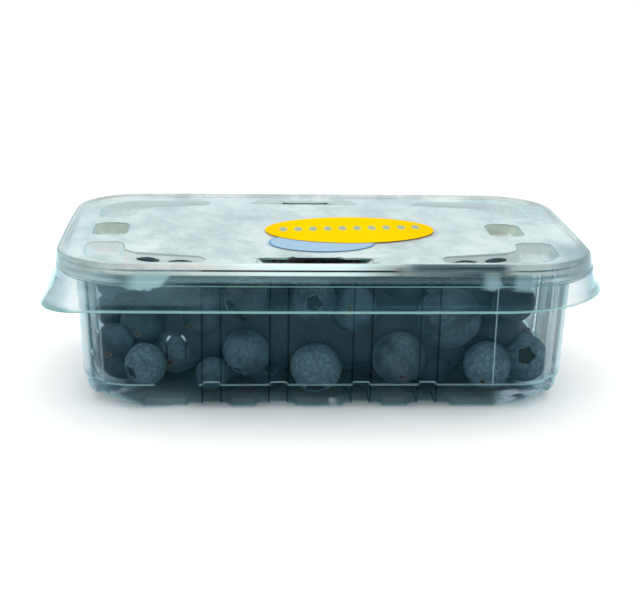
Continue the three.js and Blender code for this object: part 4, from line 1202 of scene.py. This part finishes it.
def heap_core():
    """A rounded box about the heap's middle: a superellipsoid, half size times a blunted cosine or sine along
    each axis, on a grid of turns and rows, with its distance from the upright axis waved by the product of
    three sines."""
    rows, columns = 24, 72
    up = np.linspace(-np.pi / 2, np.pi / 2, rows)[1:-1]
    turn = 2 * np.pi * np.arange(columns) / columns
    u, v = np.meshgrid(up, turn, indexing="ij")
    wide = blunt(np.cos(u), 0.35)
    x = CORE_HALF[0] * wide * blunt(np.cos(v), 0.45)
    y = CORE_HALF[1] * wide * blunt(np.sin(v), 0.45)
    z = CORE_MIDDLE + CORE_HALF[2] * blunt(np.sin(u), 0.5)
    lump = 1 + 0.03 * np.sin(x / 2.6) * np.sin(y / 2.4 + 1) * np.sin(z / 2.2)
    ring = np.stack([x * lump, y * lump, z], -1).reshape(-1, 3)
    poles = [[[0, 0, CORE_MIDDLE + way * CORE_HALF[2]]] for way in (-1, 1)]
    points = np.concatenate([poles[0], ring, poles[1]])
    return points, closed_faces(rows - 2, columns)


core = new_piece("berries_core", *heap_core())
core.data.materials.append(skin)
# The core lies deepest, so it takes the most painted shade and a thin bloom.
for name, value in (("kind", 0.0), ("tone", 0.4), ("inside", 20.0), ("bloom", -0.1)):
    put_values(core, {name: np.full(len(core.data.vertices), value)})
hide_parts("berries")
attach(core, "root")


# ---- Floor and light ----
# A plain white floor under an even white studio: brightest overhead, dimmer towards the camera's side, with
# two soft lamps, above and to the left.
FLOOR_HALF = 3.0


def floor_paint(tree):
    """Plain matt white."""
    return add_node(tree, "BsdfPrincipled", {"Base Color": (0.86, 0.86, 0.86), "Roughness": 0.9})


floor_mesh = bpy.data.meshes.new("floor")
floor_corners = [(x * FLOOR_HALF, y * FLOOR_HALF, 0) for x, y in ((-1, -1), (1, -1), (1, 1), (-1, 1))]
floor_mesh.from_pydata(floor_corners, [], [(0, 1, 2, 3)])
floor = bpy.data.objects.new("floor", floor_mesh)
bpy.context.scene.collection.objects.link(floor)
floor.data.materials.append(new_material("floor_white", floor_paint))

world = bpy.data.worlds.new("studio")
bpy.context.scene.world = world
world.use_nodes = True
sky = world.node_tree
sky.nodes.clear()
sky_y, sky_z = parts(add_node(sky, "TexCoord", output="Generated"), "YZ")
glow = shaped(sky_z, -0.1, 0.8, 0.5, 1.6) * shaped(sky_y, -0.8, 0.5, 0.55, 1.0)
strength = mixed_value(add_node(sky, "LightPath", output="Is Camera Ray"), glow, 1.0)
background = add_node(sky, "Background", {"Color": (1.0, 1.0, 1.0), "Strength": strength})
sky.links.new(background.socket, sky.nodes.new("ShaderNodeOutputWorld").inputs["Surface"])


def soft_box(name, place, aim, size, power):
    """A rectangular lamp of this size and power, in watts, that points from its place at its aim."""
    lamp = bpy.data.lights.new(name, "AREA")
    lamp.shape = "RECTANGLE"
    lamp.size, lamp.size_y = size
    lamp.energy = power
    box = bpy.data.objects.new(name, lamp)
    bpy.context.scene.collection.objects.link(box)
    away = Vector(aim) - Vector(place)
    box.matrix_world = Matrix.Translation(place) @ away.to_track_quat("-Z", "Y").to_matrix().to_4x4()


soft_box("light_top", (0.1, 0.1, 0.9), (0, 0, 0), (0.8, 0.6), 2.5)
soft_box("light_left", (-0.8, -0.5, 0.5), (0, 0, 0.03), (0.5, 0.5), 1.5)

scene = bpy.context.scene
scene.view_settings.view_transform = "Standard"
scene.cycles.transparent_max_bounces = 32
scene.cycles.max_bounces = 10
